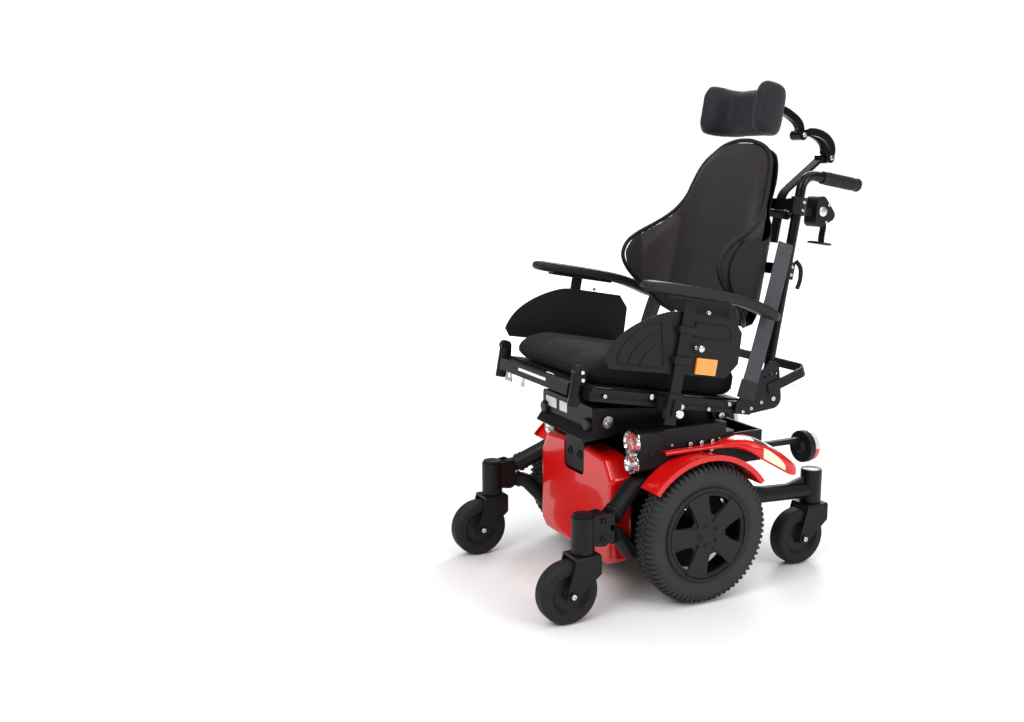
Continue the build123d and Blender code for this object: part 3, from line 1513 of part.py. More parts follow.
with BuildPart() as headrest_pad:
    with BuildSketch(Plane.XY.offset(HEAD_LOW)):
        with BuildLine():
            Spline(
                (-HEAD_HALF, HEAD_WING + 14),
                (-HEAD_HALF + 2, 20),
                (-74, HEAD_BACK - 4),
                (0, HEAD_BACK),
                (74, HEAD_BACK - 4),
                (HEAD_HALF - 2, 20),
                (HEAD_HALF, HEAD_WING + 14),
            )
            ThreePointArc(
                (HEAD_HALF, HEAD_WING + 14),
                (HEAD_HALF - 20, HEAD_WING),
                (HEAD_HALF - 40, HEAD_WING + 16),
            )
            Spline(
                (HEAD_HALF - 40, HEAD_WING + 16),
                (62, HEAD_FACE - 16),
                (0, HEAD_FACE),
                (-62, HEAD_FACE - 16),
                (-HEAD_HALF + 40, HEAD_WING + 16),
            )
            ThreePointArc(
                (-HEAD_HALF + 40, HEAD_WING + 16),
                (-HEAD_HALF + 20, HEAD_WING),
                (-HEAD_HALF, HEAD_WING + 14),
            )
        make_face()
    extrude(amount=HEAD_TOP - HEAD_LOW)
    # ears that take the ball joint's pin
    for x in (-22, 11):
        with BuildSketch(side(x)):
            with Locations((BALL_Y, BALL_Z)):
                Circle(11)
            with Locations((HEAD_BACK - 8, BALL_Z)):
                Rectangle(4, 40)
            make_hull()
            with Locations((BALL_Y, BALL_Z)):
                Circle(5 + RUN, mode=Mode.SUBTRACT)
        extrude(amount=11)
save(headrest_pad.part, "headrest_pad", SEAT)
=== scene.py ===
"""Looks of a mid-wheel-drive power wheelchair, made around its CAD frame.

Metres, +Z up, the chair faces -Y and the sitter's left hand is +X.  Two drawing frames repeat the
CAD's: base(), about the drive axle's centre line, and seat(), about the seat's tilt pivot.  Both
take millimetres and give a point of the shared frame.
"""

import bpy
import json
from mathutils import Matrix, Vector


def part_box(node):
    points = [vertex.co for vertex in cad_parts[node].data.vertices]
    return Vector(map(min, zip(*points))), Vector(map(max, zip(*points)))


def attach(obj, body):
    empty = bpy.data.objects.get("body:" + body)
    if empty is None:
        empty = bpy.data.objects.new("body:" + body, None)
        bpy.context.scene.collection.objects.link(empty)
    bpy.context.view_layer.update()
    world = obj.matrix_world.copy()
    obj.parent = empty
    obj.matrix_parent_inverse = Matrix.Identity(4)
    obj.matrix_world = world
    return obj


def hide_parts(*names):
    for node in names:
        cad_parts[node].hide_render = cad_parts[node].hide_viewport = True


bl_info = {
    "name": "Power wheelchair looks",
    "version": (1, 0, 0),
    "blender": (4, 5, 0),
    "location": "View3D > Sidebar > Wheelchair",
    "description": "Upholstery, tyres, covers, lamps and finishes of a power wheelchair",
    "category": "Object",
}

import json
import math

import bmesh
import bpy
from mathutils import Matrix, Vector
from mathutils.bvhtree import BVHTree

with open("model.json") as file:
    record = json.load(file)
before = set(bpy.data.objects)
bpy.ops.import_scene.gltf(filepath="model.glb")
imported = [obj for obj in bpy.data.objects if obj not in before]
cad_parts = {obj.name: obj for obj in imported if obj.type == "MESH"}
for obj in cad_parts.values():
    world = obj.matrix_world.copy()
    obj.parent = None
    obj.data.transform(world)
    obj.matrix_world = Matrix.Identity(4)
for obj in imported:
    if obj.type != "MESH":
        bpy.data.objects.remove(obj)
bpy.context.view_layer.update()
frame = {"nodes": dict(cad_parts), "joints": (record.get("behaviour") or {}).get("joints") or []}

MM = 0.001
TAU = 2 * math.pi
JOINTS = {joint["name"]: joint for joint in frame["joints"]}
AXLE = Vector(JOINTS["drive_wheel_spin_left"]["pos_m"])
SEAT_PIVOT = Vector(JOINTS["seat_tilt"]["pos_m"])
SEAT_TILT = math.radians(10)
BASE_FRAME = Matrix.Translation((0, AXLE.y, 0))
SEAT_FRAME = Matrix.Translation(SEAT_PIVOT) @ Matrix.Rotation(-SEAT_TILT, 4, "X")
SEAT_UP = SEAT_FRAME.to_3x3() @ Vector((0, 0, 1))
SEAT_REAR = SEAT_FRAME.to_3x3() @ Vector((0, 1, 0))
HANDS = ((1, "left"), (-1, "right"))


def base(x, y, z):
    """Point drawn in millimetres about the drive axle's centre line."""
    return BASE_FRAME @ (Vector((x, y, z)) * MM)


def seat(x, y, z):
    """Point drawn in millimetres in the tilted seat's frame."""
    return SEAT_FRAME @ (Vector((x, y, z)) * MM)


# ---------------------------------------------------------------- shader helpers
class Signal:
    """A socket of a finish's node tree; arithmetic on it adds Math nodes."""

    def __init__(self, finish, socket):
        self.finish = finish
        self.socket = socket

    def math(self, operation, *values, first=None):
        """One Math node on this signal; first, if given, goes before it."""
        order = [self, *values] if first is None else [first, self, *values]
        settings = {"operation": operation}
        return self.finish.node("ShaderNodeMath", settings, dict(enumerate(order)))

    def __add__(self, other):
        return self.math("ADD", other)

    def __sub__(self, other):
        return self.math("SUBTRACT", other)

    def __mul__(self, other):
        return self.math("MULTIPLY", other)

    def __lt__(self, other):
        return self.math("LESS_THAN", other)

    def __rsub__(self, other):
        return self.math("SUBTRACT", first=other)

    def __abs__(self):
        return self.math("ABSOLUTE")

    __radd__ = __add__

    def sine(self):
        """Sine of the signal, in radians."""
        return self.math("SINE")

    def root(self):
        """Square root of the signal."""
        return self.math("SQRT")

    def step(self, low, high):
        """Smooth rise from 0 at low to 1 at high."""
        settings = {"interpolation_type": "SMOOTHSTEP"}
        return self.finish.node("ShaderNodeMapRange", settings, {0: self, 1: low, 2: high})


class Finish:
    """A material being built from nodes."""

    def __init__(self, name):
        self.material = bpy.data.materials.new(name)
        self.material.use_nodes = True
        self.tree = self.material.node_tree
        self.tree.nodes.clear()
        self.place = self.node("ShaderNodeTexCoord", output="Object")

    def node(self, kind, settings=None, inputs=None, output=0):
        """Adds a node: its settings first, then the values or links of its sockets."""
        made = self.tree.nodes.new(kind)
        for key, value in (settings or {}).items():
            setattr(made, key, value)
        for key, value in (inputs or {}).items():
            if isinstance(value, Signal):
                self.tree.links.new(value.socket, made.inputs[key])
            else:
                made.inputs[key].default_value = value
        return Signal(self, made.outputs[output]) if made.outputs else None

    def mix(self, factor, first, second):
        """Colour that goes from first to second."""
        settings = {"data_type": "RGBA"}
        return self.node("ShaderNodeMix", settings, {0: factor, 6: first, 7: second}, 2)

    def along(self, direction, origin=(0, 0, 0)):
        """Distance of a surface point from origin along a direction, in metres."""
        moved = self.node(
            "ShaderNodeVectorMath", {"operation": "SUBTRACT"}, {0: self.place, 1: origin}
        )
        settings = {"operation": "DOT_PRODUCT"}
        return self.node("ShaderNodeVectorMath", settings, {0: moved, 1: direction}, "Value")

    def noise(self, per_metre, detail=2.0):
        """Noise from 0 to 1 with that many features in a metre."""
        inputs = {"Vector": self.place, "Scale": per_metre, "Detail": detail}
        return self.node("ShaderNodeTexNoise", None, inputs, "Fac")

    def cells(self, per_metre):
        """Distance to the nearest of scattered points, that many in a metre."""
        inputs = {"Vector": self.place, "Scale": per_metre}
        return self.node("ShaderNodeTexVoronoi", None, inputs, "Distance")

    def bump(self, height, depth, strength=1.0):
        """Normal from a height of 0 to 1 that stands for a depth in metres."""
        inputs = {"Height": height, "Distance": depth, "Strength": strength}
        return self.node("ShaderNodeBump", None, inputs)

    def surface(self, **sockets):
        """Ends the tree in a Principled shader with these sockets, named with underscores."""
        inputs = {key.replace("_", " "): value for key, value in sockets.items()}
        shader = self.node("ShaderNodeBsdfPrincipled", None, inputs)
        self.node("ShaderNodeOutputMaterial", None, {"Surface": shader})
        return self.material


def rgba(colour):
    """A colour property as four numbers."""
    return (*colour[:3], 1.0)


def shade(colour, factor):
    """A colour made lighter or darker."""
    return tuple(min(1.0, part * factor) for part in colour[:3]) + (1.0,)


# ---------------------------------------------------------------- finishes
def coated(name, colour, roughness, grain, depth, mottle=1.3, spread=0.12, **fixed):
    """Hard surface: a slow change of tone and gloss, and a fine grain in relief."""
    finish = Finish(name)
    cloud = finish.noise(7.0, 5.0)
    dust = finish.noise(90.0, 3.0)
    texture = finish.noise(grain, 2.0)
    tone = cloud * 0.6 + dust * 0.4
    fixed.setdefault("Specular_IOR_Level", 0.2)
    return finish.surface(
        Base_Color=finish.mix(tone, shade(colour, 1 / mottle), shade(colour, mottle)),
        Roughness=roughness + (tone - 0.5) * (2 * spread),
        Normal=finish.bump(texture, depth),
        **fixed,
    )


def powder_black():
    """Satin black powder coat of frames and arms."""
    return coated("powder_coat", (0.006, 0.006, 0.007), 0.40, 1500, 0.00008, 1.35)


def gloss_black():
    """Gloss black stove enamel of the canes and links."""
    return coated("gloss_enamel", (0.004, 0.004, 0.005), 0.18, 260, 0.00002, 1.2, 0.05)


def red_paint():
    """Clear-coated red of the covers and mudguards."""
    colour = bpy.context.scene.wheelchair_colours.covers
    return coated(
        "red_lacquer", colour, 0.30, 160, 0.00001, 1.04, 0.04, Coat_Weight=0.6,
        Coat_Roughness=0.05,
    )


def moulded_black():
    """Grained black plastic of housings and guards."""
    return coated("moulded_black", (0.008, 0.008, 0.009), 0.45, 2200, 0.00012, 1.3)


def rim_plastic():
    """Dark grey moulded wheel covers and caster hubs."""
    return coated("rim_plastic", (0.014, 0.013, 0.015), 0.46, 1800, 0.00008, 1.25)


def tyre_rubber():
    """Dark grey drive tyre with dust in its pores."""
    colour = bpy.context.scene.wheelchair_colours.tyres
    finish = Finish("tyre_rubber")
    cloud = finish.noise(14.0, 6.0)
    pores = finish.noise(1100, 3.0)
    return finish.surface(
        Base_Color=finish.mix(cloud, shade(colour, 0.7), shade(colour, 1.5)),
        Roughness=0.62 + cloud * 0.18,
        Specular_IOR_Level=0.25,
        Normal=finish.bump(pores, 0.00015),
    )


def caster_rubber(centre, hub_radius):
    """Solid caster tyre, with a moulded hub inside the given radius."""
    finish = Finish("caster_rubber")
    along_y = finish.along((0, 1, 0), centre)
    along_z = finish.along((0, 0, 1), centre)
    radius = (along_y * along_y + along_z * along_z).root()
    hub = radius < hub_radius
    cloud = finish.noise(20.0, 5.0)
    rings = (radius * (TAU / 0.0022)).sine()
    rubber = finish.mix(cloud, (0.008, 0.008, 0.009, 1), (0.018, 0.018, 0.019, 1))
    plastic = finish.mix(cloud, (0.010, 0.010, 0.011, 1), (0.018, 0.018, 0.019, 1))
    return finish.surface(
        Base_Color=finish.mix(hub, rubber, plastic),
        Roughness=0.58 - hub * 0.16 + cloud * 0.1,
        Specular_IOR_Level=0.2,
        Normal=finish.bump(rings * (1 - hub) * 0.2 + finish.noise(1500), 0.00008),
    )


def polyurethane():
    """Black moulded armrest and grip skin."""
    return coated("polyurethane_skin", (0.014, 0.014, 0.015), 0.40, 900, 0.00018, 1.3, 0.1)


def zinc():
    """Bright zinc-plated fasteners."""
    return coated("zinc_plate", (0.62, 0.62, 0.65), 0.26, 700, 0.00003, 1.15, 0.1, Metallic=1.0)


def chrome():
    """Ground and plated strut rod."""
    return coated(
        "ground_chrome", (0.75, 0.75, 0.78), 0.09, 900, 0.00001, 1.05, 0.04, Metallic=1.0
    )


def knit(name, colour, pitch, depth):
    """Tight knit: loops in rows across and up the tilted seat."""
    finish = Finish(name)
    across = (finish.along((1, 0, 0)) * (TAU / pitch)).sine()
    up = (finish.along(SEAT_UP) * (TAU / pitch)).sine()
    loops = across * up * 0.5 + 0.5
    cloud = finish.noise(11.0, 5.0)
    lint = finish.noise(420, 3.0)
    tone = loops * 0.35 + lint * 0.35 + cloud * 0.3
    return finish.surface(
        Base_Color=finish.mix(tone, shade(colour, 0.6), shade(colour, 1.7)),
        Roughness=0.85,
        Normal=finish.bump(loops * 0.6 + lint * 0.4, depth),
        Sheen_Weight=0.05,
        Specular_IOR_Level=0.2,
        Sheen_Roughness=0.5,
    )


def spacer_knit(colour):
    """Back cover: fine knit, with open spacer mesh inside the side wings; the mesh's holes are
    painted dark as shade and its threads lighter.
    """
    pitch, mesh_pitch = 0.0021, 0.0046
    finish = Finish("spacer_knit")
    outward = abs(finish.along((1, 0, 0)))
    height = finish.along(SEAT_UP, SEAT_PIVOT)
    forward = finish.along((0, -1, 0), seat(0, 0, 375))
    zone = outward.step(0.150, 0.162) * height.step(0.300, 0.315) * (1 - height.step(0.492, 0.506))
    zone = zone * (1 - forward.step(0.088, 0.094))
    across = (finish.along((1, 0, 0)) * (TAU / pitch)).sine()
    up = (height * (TAU / pitch)).sine()
    weft = (finish.along((0, 1, 0)) * (TAU / mesh_pitch)).sine()
    warp = (height * (TAU / mesh_pitch)).sine()
    holes = (weft * warp).step(0.1, 0.7)
    loops = across * up * 0.5 + 0.5
    lint = finish.noise(380, 3.0)
    cloud = finish.noise(9.0, 5.0)
    tone = loops * 0.3 + lint * 0.4 + cloud * 0.3
    plain = finish.mix(tone, shade(colour, 0.62), shade(colour, 1.6))
    # painted shade: the holes of the mesh are painted near black, the threads round them lighter
    mesh = finish.mix(holes, shade(colour, 2.3), shade(colour, 0.25))
    relief = loops * 0.4 + lint * 0.4 - holes * zone
    return finish.surface(
        Base_Color=finish.mix(zone, plain, mesh),
        Roughness=0.88 - zone * 0.2,
        Normal=finish.bump(relief, 0.00035),
        Sheen_Weight=0.08,
        Specular_IOR_Level=0.2,
        Sheen_Roughness=0.5,
    )


def stretch_fabric():
    """Blue-grey coated stretch cover of the headrest."""
    colour = bpy.context.scene.wheelchair_colours.headrest
    finish = Finish("stretch_fabric")
    cloud = finish.noise(10.0, 5.0)
    weave = finish.cells(900)
    lint = finish.noise(700, 2.0)
    return finish.surface(
        Base_Color=finish.mix(cloud * 0.5 + lint * 0.5, shade(colour, 0.75), shade(colour, 1.35)),
        Roughness=0.56 + cloud * 0.12,
        Normal=finish.bump(weave * 0.6 + lint * 0.4, 0.0002),
        Sheen_Weight=0.06,
        Specular_IOR_Level=0.2,
        Sheen_Roughness=0.45,
    )


def webbing(name, colour):
    """Woven strap: a cross weave that follows the strap's length."""
    finish = Finish(name)
    rows = (finish.along(SEAT_UP) * (TAU / 0.0026)).sine()
    ends = (finish.along((0, 1, 0)) * (TAU / 0.0021)).sine()
    weave = rows * ends * 0.5 + 0.5
    wear = finish.noise(60, 4.0)
    return finish.surface(
        Base_Color=finish.mix(weave * 0.5 + wear * 0.5, shade(colour, 0.55), shade(colour, 1.6)),
        Roughness=0.62,
        Normal=finish.bump(weave, 0.0004),
        Sheen_Weight=0.15,
        Specular_IOR_Level=0.2,
    )


def clear_lens():
    """Clear polycarbonate of the lamp lenses, with faint moulded flutes."""
    finish = Finish("clear_lens")
    flutes = (finish.along((1, 0, 0)) * (TAU / 0.004)).sine()
    return finish.surface(
        Base_Color=finish.mix(finish.noise(30), (0.95, 0.96, 0.98, 1), (1, 1, 1, 1)),
        Roughness=0.03 + finish.noise(120) * 0.04,
        Normal=finish.bump(flutes, 0.00006),
        Transmission_Weight=1.0,
        IOR=1.3,
    )


def coloured_lens(name, colour, rough=0.1, painted_glow=0.0):
    """Moulded coloured lens with a prismatic back face, and an optional painted glow."""
    finish = Finish(name)
    flutes = (finish.along((1, 0, 0)) * (TAU / 0.005)).sine()
    rows = (finish.along((0, 0, 1)) * (TAU / 0.005)).sine()
    prisms = flutes * rows * 0.5 + 0.5
    return finish.surface(
        Base_Color=finish.mix(prisms, shade(colour, 0.75), shade(colour, 1.2)),
        Roughness=rough + prisms * 0.1,
        Normal=finish.bump(prisms, 0.0005),
        Coat_Weight=1.0,
        Coat_Roughness=0.03,
        # a glow strength above 0 is a painted glow, for a lens that is no lamp
        Emission_Color=rgba(colour),
        Emission_Strength=painted_glow,
    )


def rear_lens(split_z):
    """Round rear lamp: clear above and red below."""
    finish = Finish("rear_lamp_lens")
    red_part = 1 - finish.along((0, 0, 1)).step(split_z - 0.001, split_z + 0.001)
    rows = (finish.along((0, 0, 1)) * (TAU / 0.004)).sine() * 0.5 + 0.5
    clear = finish.mix(rows, (0.50, 0.40, 0.41, 1), (0.82, 0.74, 0.76, 1))
    red = finish.mix(rows, (0.42, 0.006, 0.008, 1), (0.72, 0.02, 0.02, 1))
    return finish.surface(
        Base_Color=finish.mix(red_part, clear, red),
        Roughness=0.1 + rows * 0.08,
        Normal=finish.bump(rows, 0.0003),
        Coat_Weight=1.0,
        Coat_Roughness=0.03,
    )


def reflector():
    """Vacuum-plated lamp bowl."""
    return coated(
        "lamp_reflector", (0.86, 0.86, 0.88), 0.10, 300, 0.00004, 1.1, 0.05, Metallic=1.0
    )


def studio_floor():
    """Pale matt floor that brightens into the white background away from the chair."""
    finish = Finish("studio_floor")
    x = finish.along((1, 0, 0))
    y = finish.along((0, 1, 0))
    far = (x * x + y * y).root().step(1.6, 4.6)
    grain = finish.noise(60, 3.0)
    return finish.surface(
        Base_Color=finish.mix(grain, (0.84, 0.84, 0.845, 1), (0.88, 0.88, 0.885, 1)),
        Roughness=0.55 + grain * 0.06,
        Emission_Color=finish.mix(far, (0, 0, 0, 1), (0.95, 0.95, 0.95, 1)),
        Emission_Strength=1.0,
        Normal=finish.bump(grain, 0.0002),
    )


def label(name, colour):
    """Blank printed film."""
    return coated(name, colour, 0.34, 500, 0.00002, 1.08, 0.05, Coat_Weight=0.5)


# ---------------------------------------------------------------- mesh helpers
def piece(name, verts, faces, body, material, sharp=38.0):
    """Makes a mesh object that rides on a body and takes the finish it is given."""
    mesh = bpy.data.meshes.new(name)
    mesh.from_pydata([tuple(v) for v in verts], [], faces)
    work = bmesh.new()
    work.from_mesh(mesh)
    bmesh.ops.remove_doubles(work, verts=work.verts, dist=1e-6)
    bmesh.ops.recalc_face_normals(work, faces=work.faces)
    work.to_mesh(mesh)
    work.free()
    mesh.shade_smooth()
    mesh.set_sharp_from_angle(angle=math.radians(sharp))
    mesh.materials.append(material)
    made = bpy.data.objects.new(name, mesh)
    bpy.context.scene.collection.objects.link(made)
    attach(made, body)
    return made


class Shape:
    """Collects several solids of one piece."""

    def __init__(self):
        self.verts = []
        self.faces = []

    def add(self, verts, faces):
        """Adds a solid's points and faces."""
        shift = len(self.verts)
        self.verts.extend(verts)
        self.faces.extend([tuple(i + shift for i in face) for face in faces])

    def rings(self, rings, loop=False):
        """Skins equal rings of points and caps the ends; loop joins them instead."""
        count, size = len(rings), len(rings[0])
        verts = [point for ring in rings for point in ring]
        faces = []
        for i in range(count if loop else count - 1):
            following = (i + 1) % count
            for k in range(size):
                nxt = (k + 1) % size
                faces.append(
                    (i * size + k, i * size + nxt, following * size + nxt, following * size + k)
                )
        if not loop:
            faces.append(tuple(range(size - 1, -1, -1)))
            faces.append(tuple(range((count - 1) * size, count * size)))
        self.add(verts, faces)

    def lathe(self, profile, centre, axis, segments=48):
        """Turns a profile of (distance along the axis, radius) about an axis, in millimetres."""
        along = Vector(axis).normalized()
        side_dir = along.orthogonal().normalized()
        up_dir = along.cross(side_dir)
        rings = []
        for k in range(segments):
            angle = TAU * k / segments
            out = side_dir * math.cos(angle) + up_dir * math.sin(angle)
            rings.append([centre + (along * a + out * r) * MM for a, r in profile])
        self.rings(rings, loop=True)

    def plate(self, outline, depth, place, chamfer):
        """Flat plate: an outline of (u, v) made thick along w, its front edge chamfered."""
        middle_u = sum(u for u, v in outline) / len(outline)
        middle_v = sum(v for u, v in outline) / len(outline)
        reach = max(math.hypot(u - middle_u, v - middle_v) for u, v in outline)
        shrink = 1 - chamfer / reach
        inner = [
            (middle_u + (u - middle_u) * shrink, middle_v + (v - middle_v) * shrink)
            for u, v in outline
        ]
        self.rings(
            [
                [place(u, v, 0) for u, v in outline],
                [place(u, v, depth - chamfer) for u, v in outline],
                [place(u, v, depth) for u, v in inner],
            ]
        )

    def tube(self, points, radius, sides, flat=1.0):
        """Round or flattened tube along points; radius may be one value or one per point."""
        rings = []
        count = len(points)
        normal = None
        for i, point in enumerate(points):
            ahead = points[min(i + 1, count - 1)] - points[max(i - 1, 0)]
            ahead.normalize()
            if normal is None:
                normal = ahead.orthogonal()
            normal = (normal - ahead * normal.dot(ahead)).normalized()
            across = ahead.cross(normal)
            r = radius[i] if isinstance(radius, (list, tuple)) else radius
            ring = []
            for k in range(sides):
                angle = TAU * k / sides
                offset = normal * math.cos(angle) + across * (math.sin(angle) * flat)
                ring.append(point + offset * (r * MM))
            rings.append(ring)
        self.rings(rings)

    def socket_screw(self, centre, axis, radius, height):
        """Cap screw with a rounded edge and a hexagon socket."""
        along = Vector(axis).normalized()
        side_dir = along.orthogonal().normalized()
        up_dir = along.cross(side_dir)
        segments, corner = 24, TAU / 6
        profile = (
            (0.0, 1.0),
            (height * 0.75, 1.0),
            (height * 0.95, 0.92),
            (height, 0.82),
            (height, 0.50),
            (height * 0.35, 0.48),
        )
        rings = []
        for level, (lift, share) in enumerate(profile):
            ring = []
            for k in range(segments):
                angle = TAU * k / segments
                reach = radius * share
                if level >= 4:
                    part = (angle % corner) - corner / 2
                    reach = reach * math.cos(corner / 2) / math.cos(part)
                out = side_dir * math.cos(angle) + up_dir * math.sin(angle)
                ring.append(centre + (along * lift + out * reach) * MM)
            rings.append(ring)
        self.rings(rings)

    def piece(self, name, body, material, slot, sharp=38.0):
        """Makes the collected solids into one piece."""
        return piece(name, self.verts, self.faces, body, material, sharp)


def curve_through(points, steps):
    """Smooth path through points (Catmull-Rom), with that many steps for each stretch."""
    ends = [points[0] * 2 - points[1], *points, points[-1] * 2 - points[-2]]
    path = []
    for i in range(1, len(ends) - 2):
        p0, p1, p2, p3 = ends[i - 1 : i + 3]
        for k in range(steps):
            t = k / steps
            path.append(
                (
                    p1 * 2
                    + (p2 - p0) * t
                    + (p0 * 2 - p1 * 5 + p2 * 4 - p3) * t**2
                    + (p1 * 3 - p0 - p2 * 3 + p3) * t**3
                )
                * 0.5
            )
    path.append(points[-1].copy())
    return path


def table_value(rows, at):
    """Smooth value between rows of (place, value)."""
    if at <= rows[0][0]:
        return rows[0][1]
    for (a, va), (b, vb) in zip(rows, rows[1:]):
        if at <= b:
            t = (at - a) / (b - a)
            return va + (vb - va) * t * t * (3 - 2 * t)
    return rows[-1][1]


def round_rect(width, height, radius, steps=6):
    """Outline of a rounded rectangle about its centre, in millimetres."""
    outline = []
    for k, (sx, sy) in enumerate(((1, 1), (-1, 1), (-1, -1), (1, -1))):
        for i in range(steps + 1):
            angle = math.radians(90 * k + 90 * i / steps)
            outline.append(
                (
                    sx * (width / 2 - radius) + radius * math.cos(angle),
                    sy * (height / 2 - radius) + radius * math.sin(angle),
                )
            )
    return outline


def paint(material, *nodes):
    """Gives CAD nodes a finish."""
    for node in nodes:
        mesh = frame["nodes"][node].data
        mesh.materials.clear()
        mesh.materials.append(material)


def both(*names):
    """Left and right names of paired nodes."""
    return [f"{name}_{hand}" for name in names for _, hand in HANDS]


# ---------------------------------------------------------------- soft goods
FILL_FRAMES = 20  # frames that the cloth is blown up for
SEAM_SINK = 0.35  # share of a cord's radius that lies under the cloth


def cushion_block(name, cuts, place):
    """Closed gridded block: each point of a cube from -1 to 1 is sent through place."""
    work = bmesh.new()
    bmesh.ops.create_cube(work, size=2)
    bmesh.ops.subdivide_edges(work, edges=work.edges[:], cuts=cuts, use_grid_fill=True)
    for vert in work.verts:
        vert.co = place(*vert.co)
    bmesh.ops.recalc_face_normals(work, faces=work.faces)
    mesh = bpy.data.meshes.new(name)
    work.to_mesh(mesh)
    work.free()
    made = bpy.data.objects.new(name, mesh)
    bpy.context.scene.collection.objects.link(made)
    return made


def settle(pad):
    """Applies a pad's modifiers to its mesh."""
    graph = bpy.context.evaluated_depsgraph_get()
    mesh = bpy.data.meshes.new_from_object(pad.evaluated_get(graph))
    pad.modifiers.clear()
    pad.data = mesh


def stuff(pad, cap, pressure, voxel):
    """Fills a cover as foam does: even mesh, cloth under pressure, movement capped, smoothed."""
    remesh = pad.modifiers.new("even", "REMESH")
    remesh.mode = "VOXEL"
    remesh.voxel_size = voxel
    settle(pad)
    scene = bpy.context.scene
    rest = [vert.co.copy() for vert in pad.data.vertices]
    cloth = pad.modifiers.new("fill", "CLOTH")
    cloth.settings.quality = 4
    cloth.settings.mass = 0.3
    cloth.settings.use_pressure = True
    cloth.settings.uniform_pressure_force = pressure
    cloth.settings.effector_weights.gravity = 0
    cloth.point_cache.frame_start = 1
    cloth.point_cache.frame_end = FILL_FRAMES
    for at in range(1, FILL_FRAMES + 1):
        scene.frame_set(at)
    graph = bpy.context.evaluated_depsgraph_get()
    swollen = [vert.co.copy() for vert in pad.evaluated_get(graph).data.vertices]
    pad.modifiers.clear()
    scene.frame_set(1)
    for vert, old, new in zip(pad.data.vertices, rest, swollen):
        move = new - old
        if move.length > cap:
            move = move.normalized() * cap
        vert.co = old + move
    soften = pad.modifiers.new("soften", "SMOOTH")
    soften.factor = 0.5
    soften.iterations = 6
    finer = pad.modifiers.new("finer", "SUBSURF")
    finer.levels = finer.render_levels = 1
    settle(pad)


def dress(pad, body, material, node):
    """Finishes a soft piece: smooth shading, cover, body, and hiding the CAD solid."""
    pad.data.shade_smooth()
    pad.data.materials.clear()
    pad.data.materials.append(material)
    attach(pad, body)
    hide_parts(node)


def surface_of(thing):
    """Search tree of a finished mesh."""
    work = bmesh.new()
    work.from_mesh(thing.data)
    tree = BVHTree.FromBMesh(work)
    work.free()
    return tree


def seam(shape, tree, points, radius, steps=8):
    """Adds a corded seam that follows a surface through points near it."""
    path = []
    for point in curve_through(points, steps):
        spot, normal, _, _ = tree.find_nearest(point)
        path.append(spot - normal * (radius * SEAM_SINK * MM))
    shape.tube(path, radius, 8)


def winged_path(reach, middle_y, straight, bend_r, bend):
    """Plan point and outward direction at an arc length from a winged pad's middle.

    The plan runs straight, round a bend on each side, and then straight forward.
    """
    sign = 1 if reach >= 0 else -1
    run = abs(reach)
    if run <= straight:
        return Vector((sign * run, middle_y)), Vector((0, 1))
    turn = min((run - straight) / bend_r, bend)
    x = straight + bend_r * math.sin(turn)
    y = middle_y - bend_r * (1 - math.cos(turn))
    rest = run - straight - bend_r * bend
    if rest > 0:
        x += rest * math.cos(bend)
        y -= rest * math.sin(bend)
    return Vector((sign * x, y)), Vector((sign * math.sin(turn), math.cos(turn)))


# ---------------------------------------------------------------- sizes and colours
class WheelchairColours(bpy.types.PropertyGroup):
    """Colours that an owner would choose."""

    covers: bpy.props.FloatVectorProperty(
        name="Covers", description="Lacquer of the shrouds and mudguards", subtype="COLOR",
        size=3, default=(0.62, 0.004, 0.003),
    )
    tyres: bpy.props.FloatVectorProperty(
        name="Tyres", description="Drive tyre rubber", subtype="COLOR", size=3,
        default=(0.026, 0.026, 0.028),
    )
    seat_cover: bpy.props.FloatVectorProperty(
        name="Seat cover", description="Knit of the seat cushion", subtype="COLOR", size=3,
        default=(0.0045, 0.0045, 0.0050),
    )
    back_cover: bpy.props.FloatVectorProperty(
        name="Back cover", description="Knit of the back cushion", subtype="COLOR", size=3,
        default=(0.0200, 0.0165, 0.0170),
    )
    headrest: bpy.props.FloatVectorProperty(
        name="Headrest cover", description="Stretch fabric of the headrest", subtype="COLOR",
        size=3, default=(0.0100, 0.0118, 0.0145),
    )
    straps: bpy.props.FloatVectorProperty(
        name="Straps", description="Harness webbing", subtype="COLOR", size=3,
        default=(0.045, 0.049, 0.058),
    )


class WheelchairSizes(bpy.types.PropertyGroup):
    """Sizes of the details that the CAD frame leaves to the looks."""

    lugs: bpy.props.IntProperty(
        name="Tread lugs", description="Rows of lugs round a drive tyre", default=72
    )
    lug_depth: bpy.props.FloatProperty(
        name="Lug depth", description="Height of the tread lugs", default=0.0055,
        unit="LENGTH",
    )
    piping: bpy.props.FloatProperty(
        name="Piping", description="Radius of the corded seams", default=0.0018, unit="LENGTH"
    )
    strap_width: bpy.props.FloatProperty(
        name="Strap width", description="Width of the harness webbing", default=0.048,
        unit="LENGTH",
    )


class WheelchairStudio(bpy.types.PropertyGroup):
    """Light and camera of the studio."""

    azimuth: bpy.props.FloatProperty(
        name="Azimuth", description="Turn of the camera about the chair",
        default=math.radians(64.45), subtype="ANGLE",
    )
    elevation: bpy.props.FloatProperty(
        name="Elevation", description="Height angle of the camera",
        default=math.radians(10.47), subtype="ANGLE",
    )
    lens: bpy.props.FloatProperty(
        name="Lens", description="Focal length on a 36 mm sensor, in millimetres", default=37.4
    )


def colours():
    """The colours chosen in the scene."""
    return bpy.context.scene.wheelchair_colours


def sizes():
    """The detail sizes chosen in the scene."""
    return bpy.context.scene.wheelchair_sizes


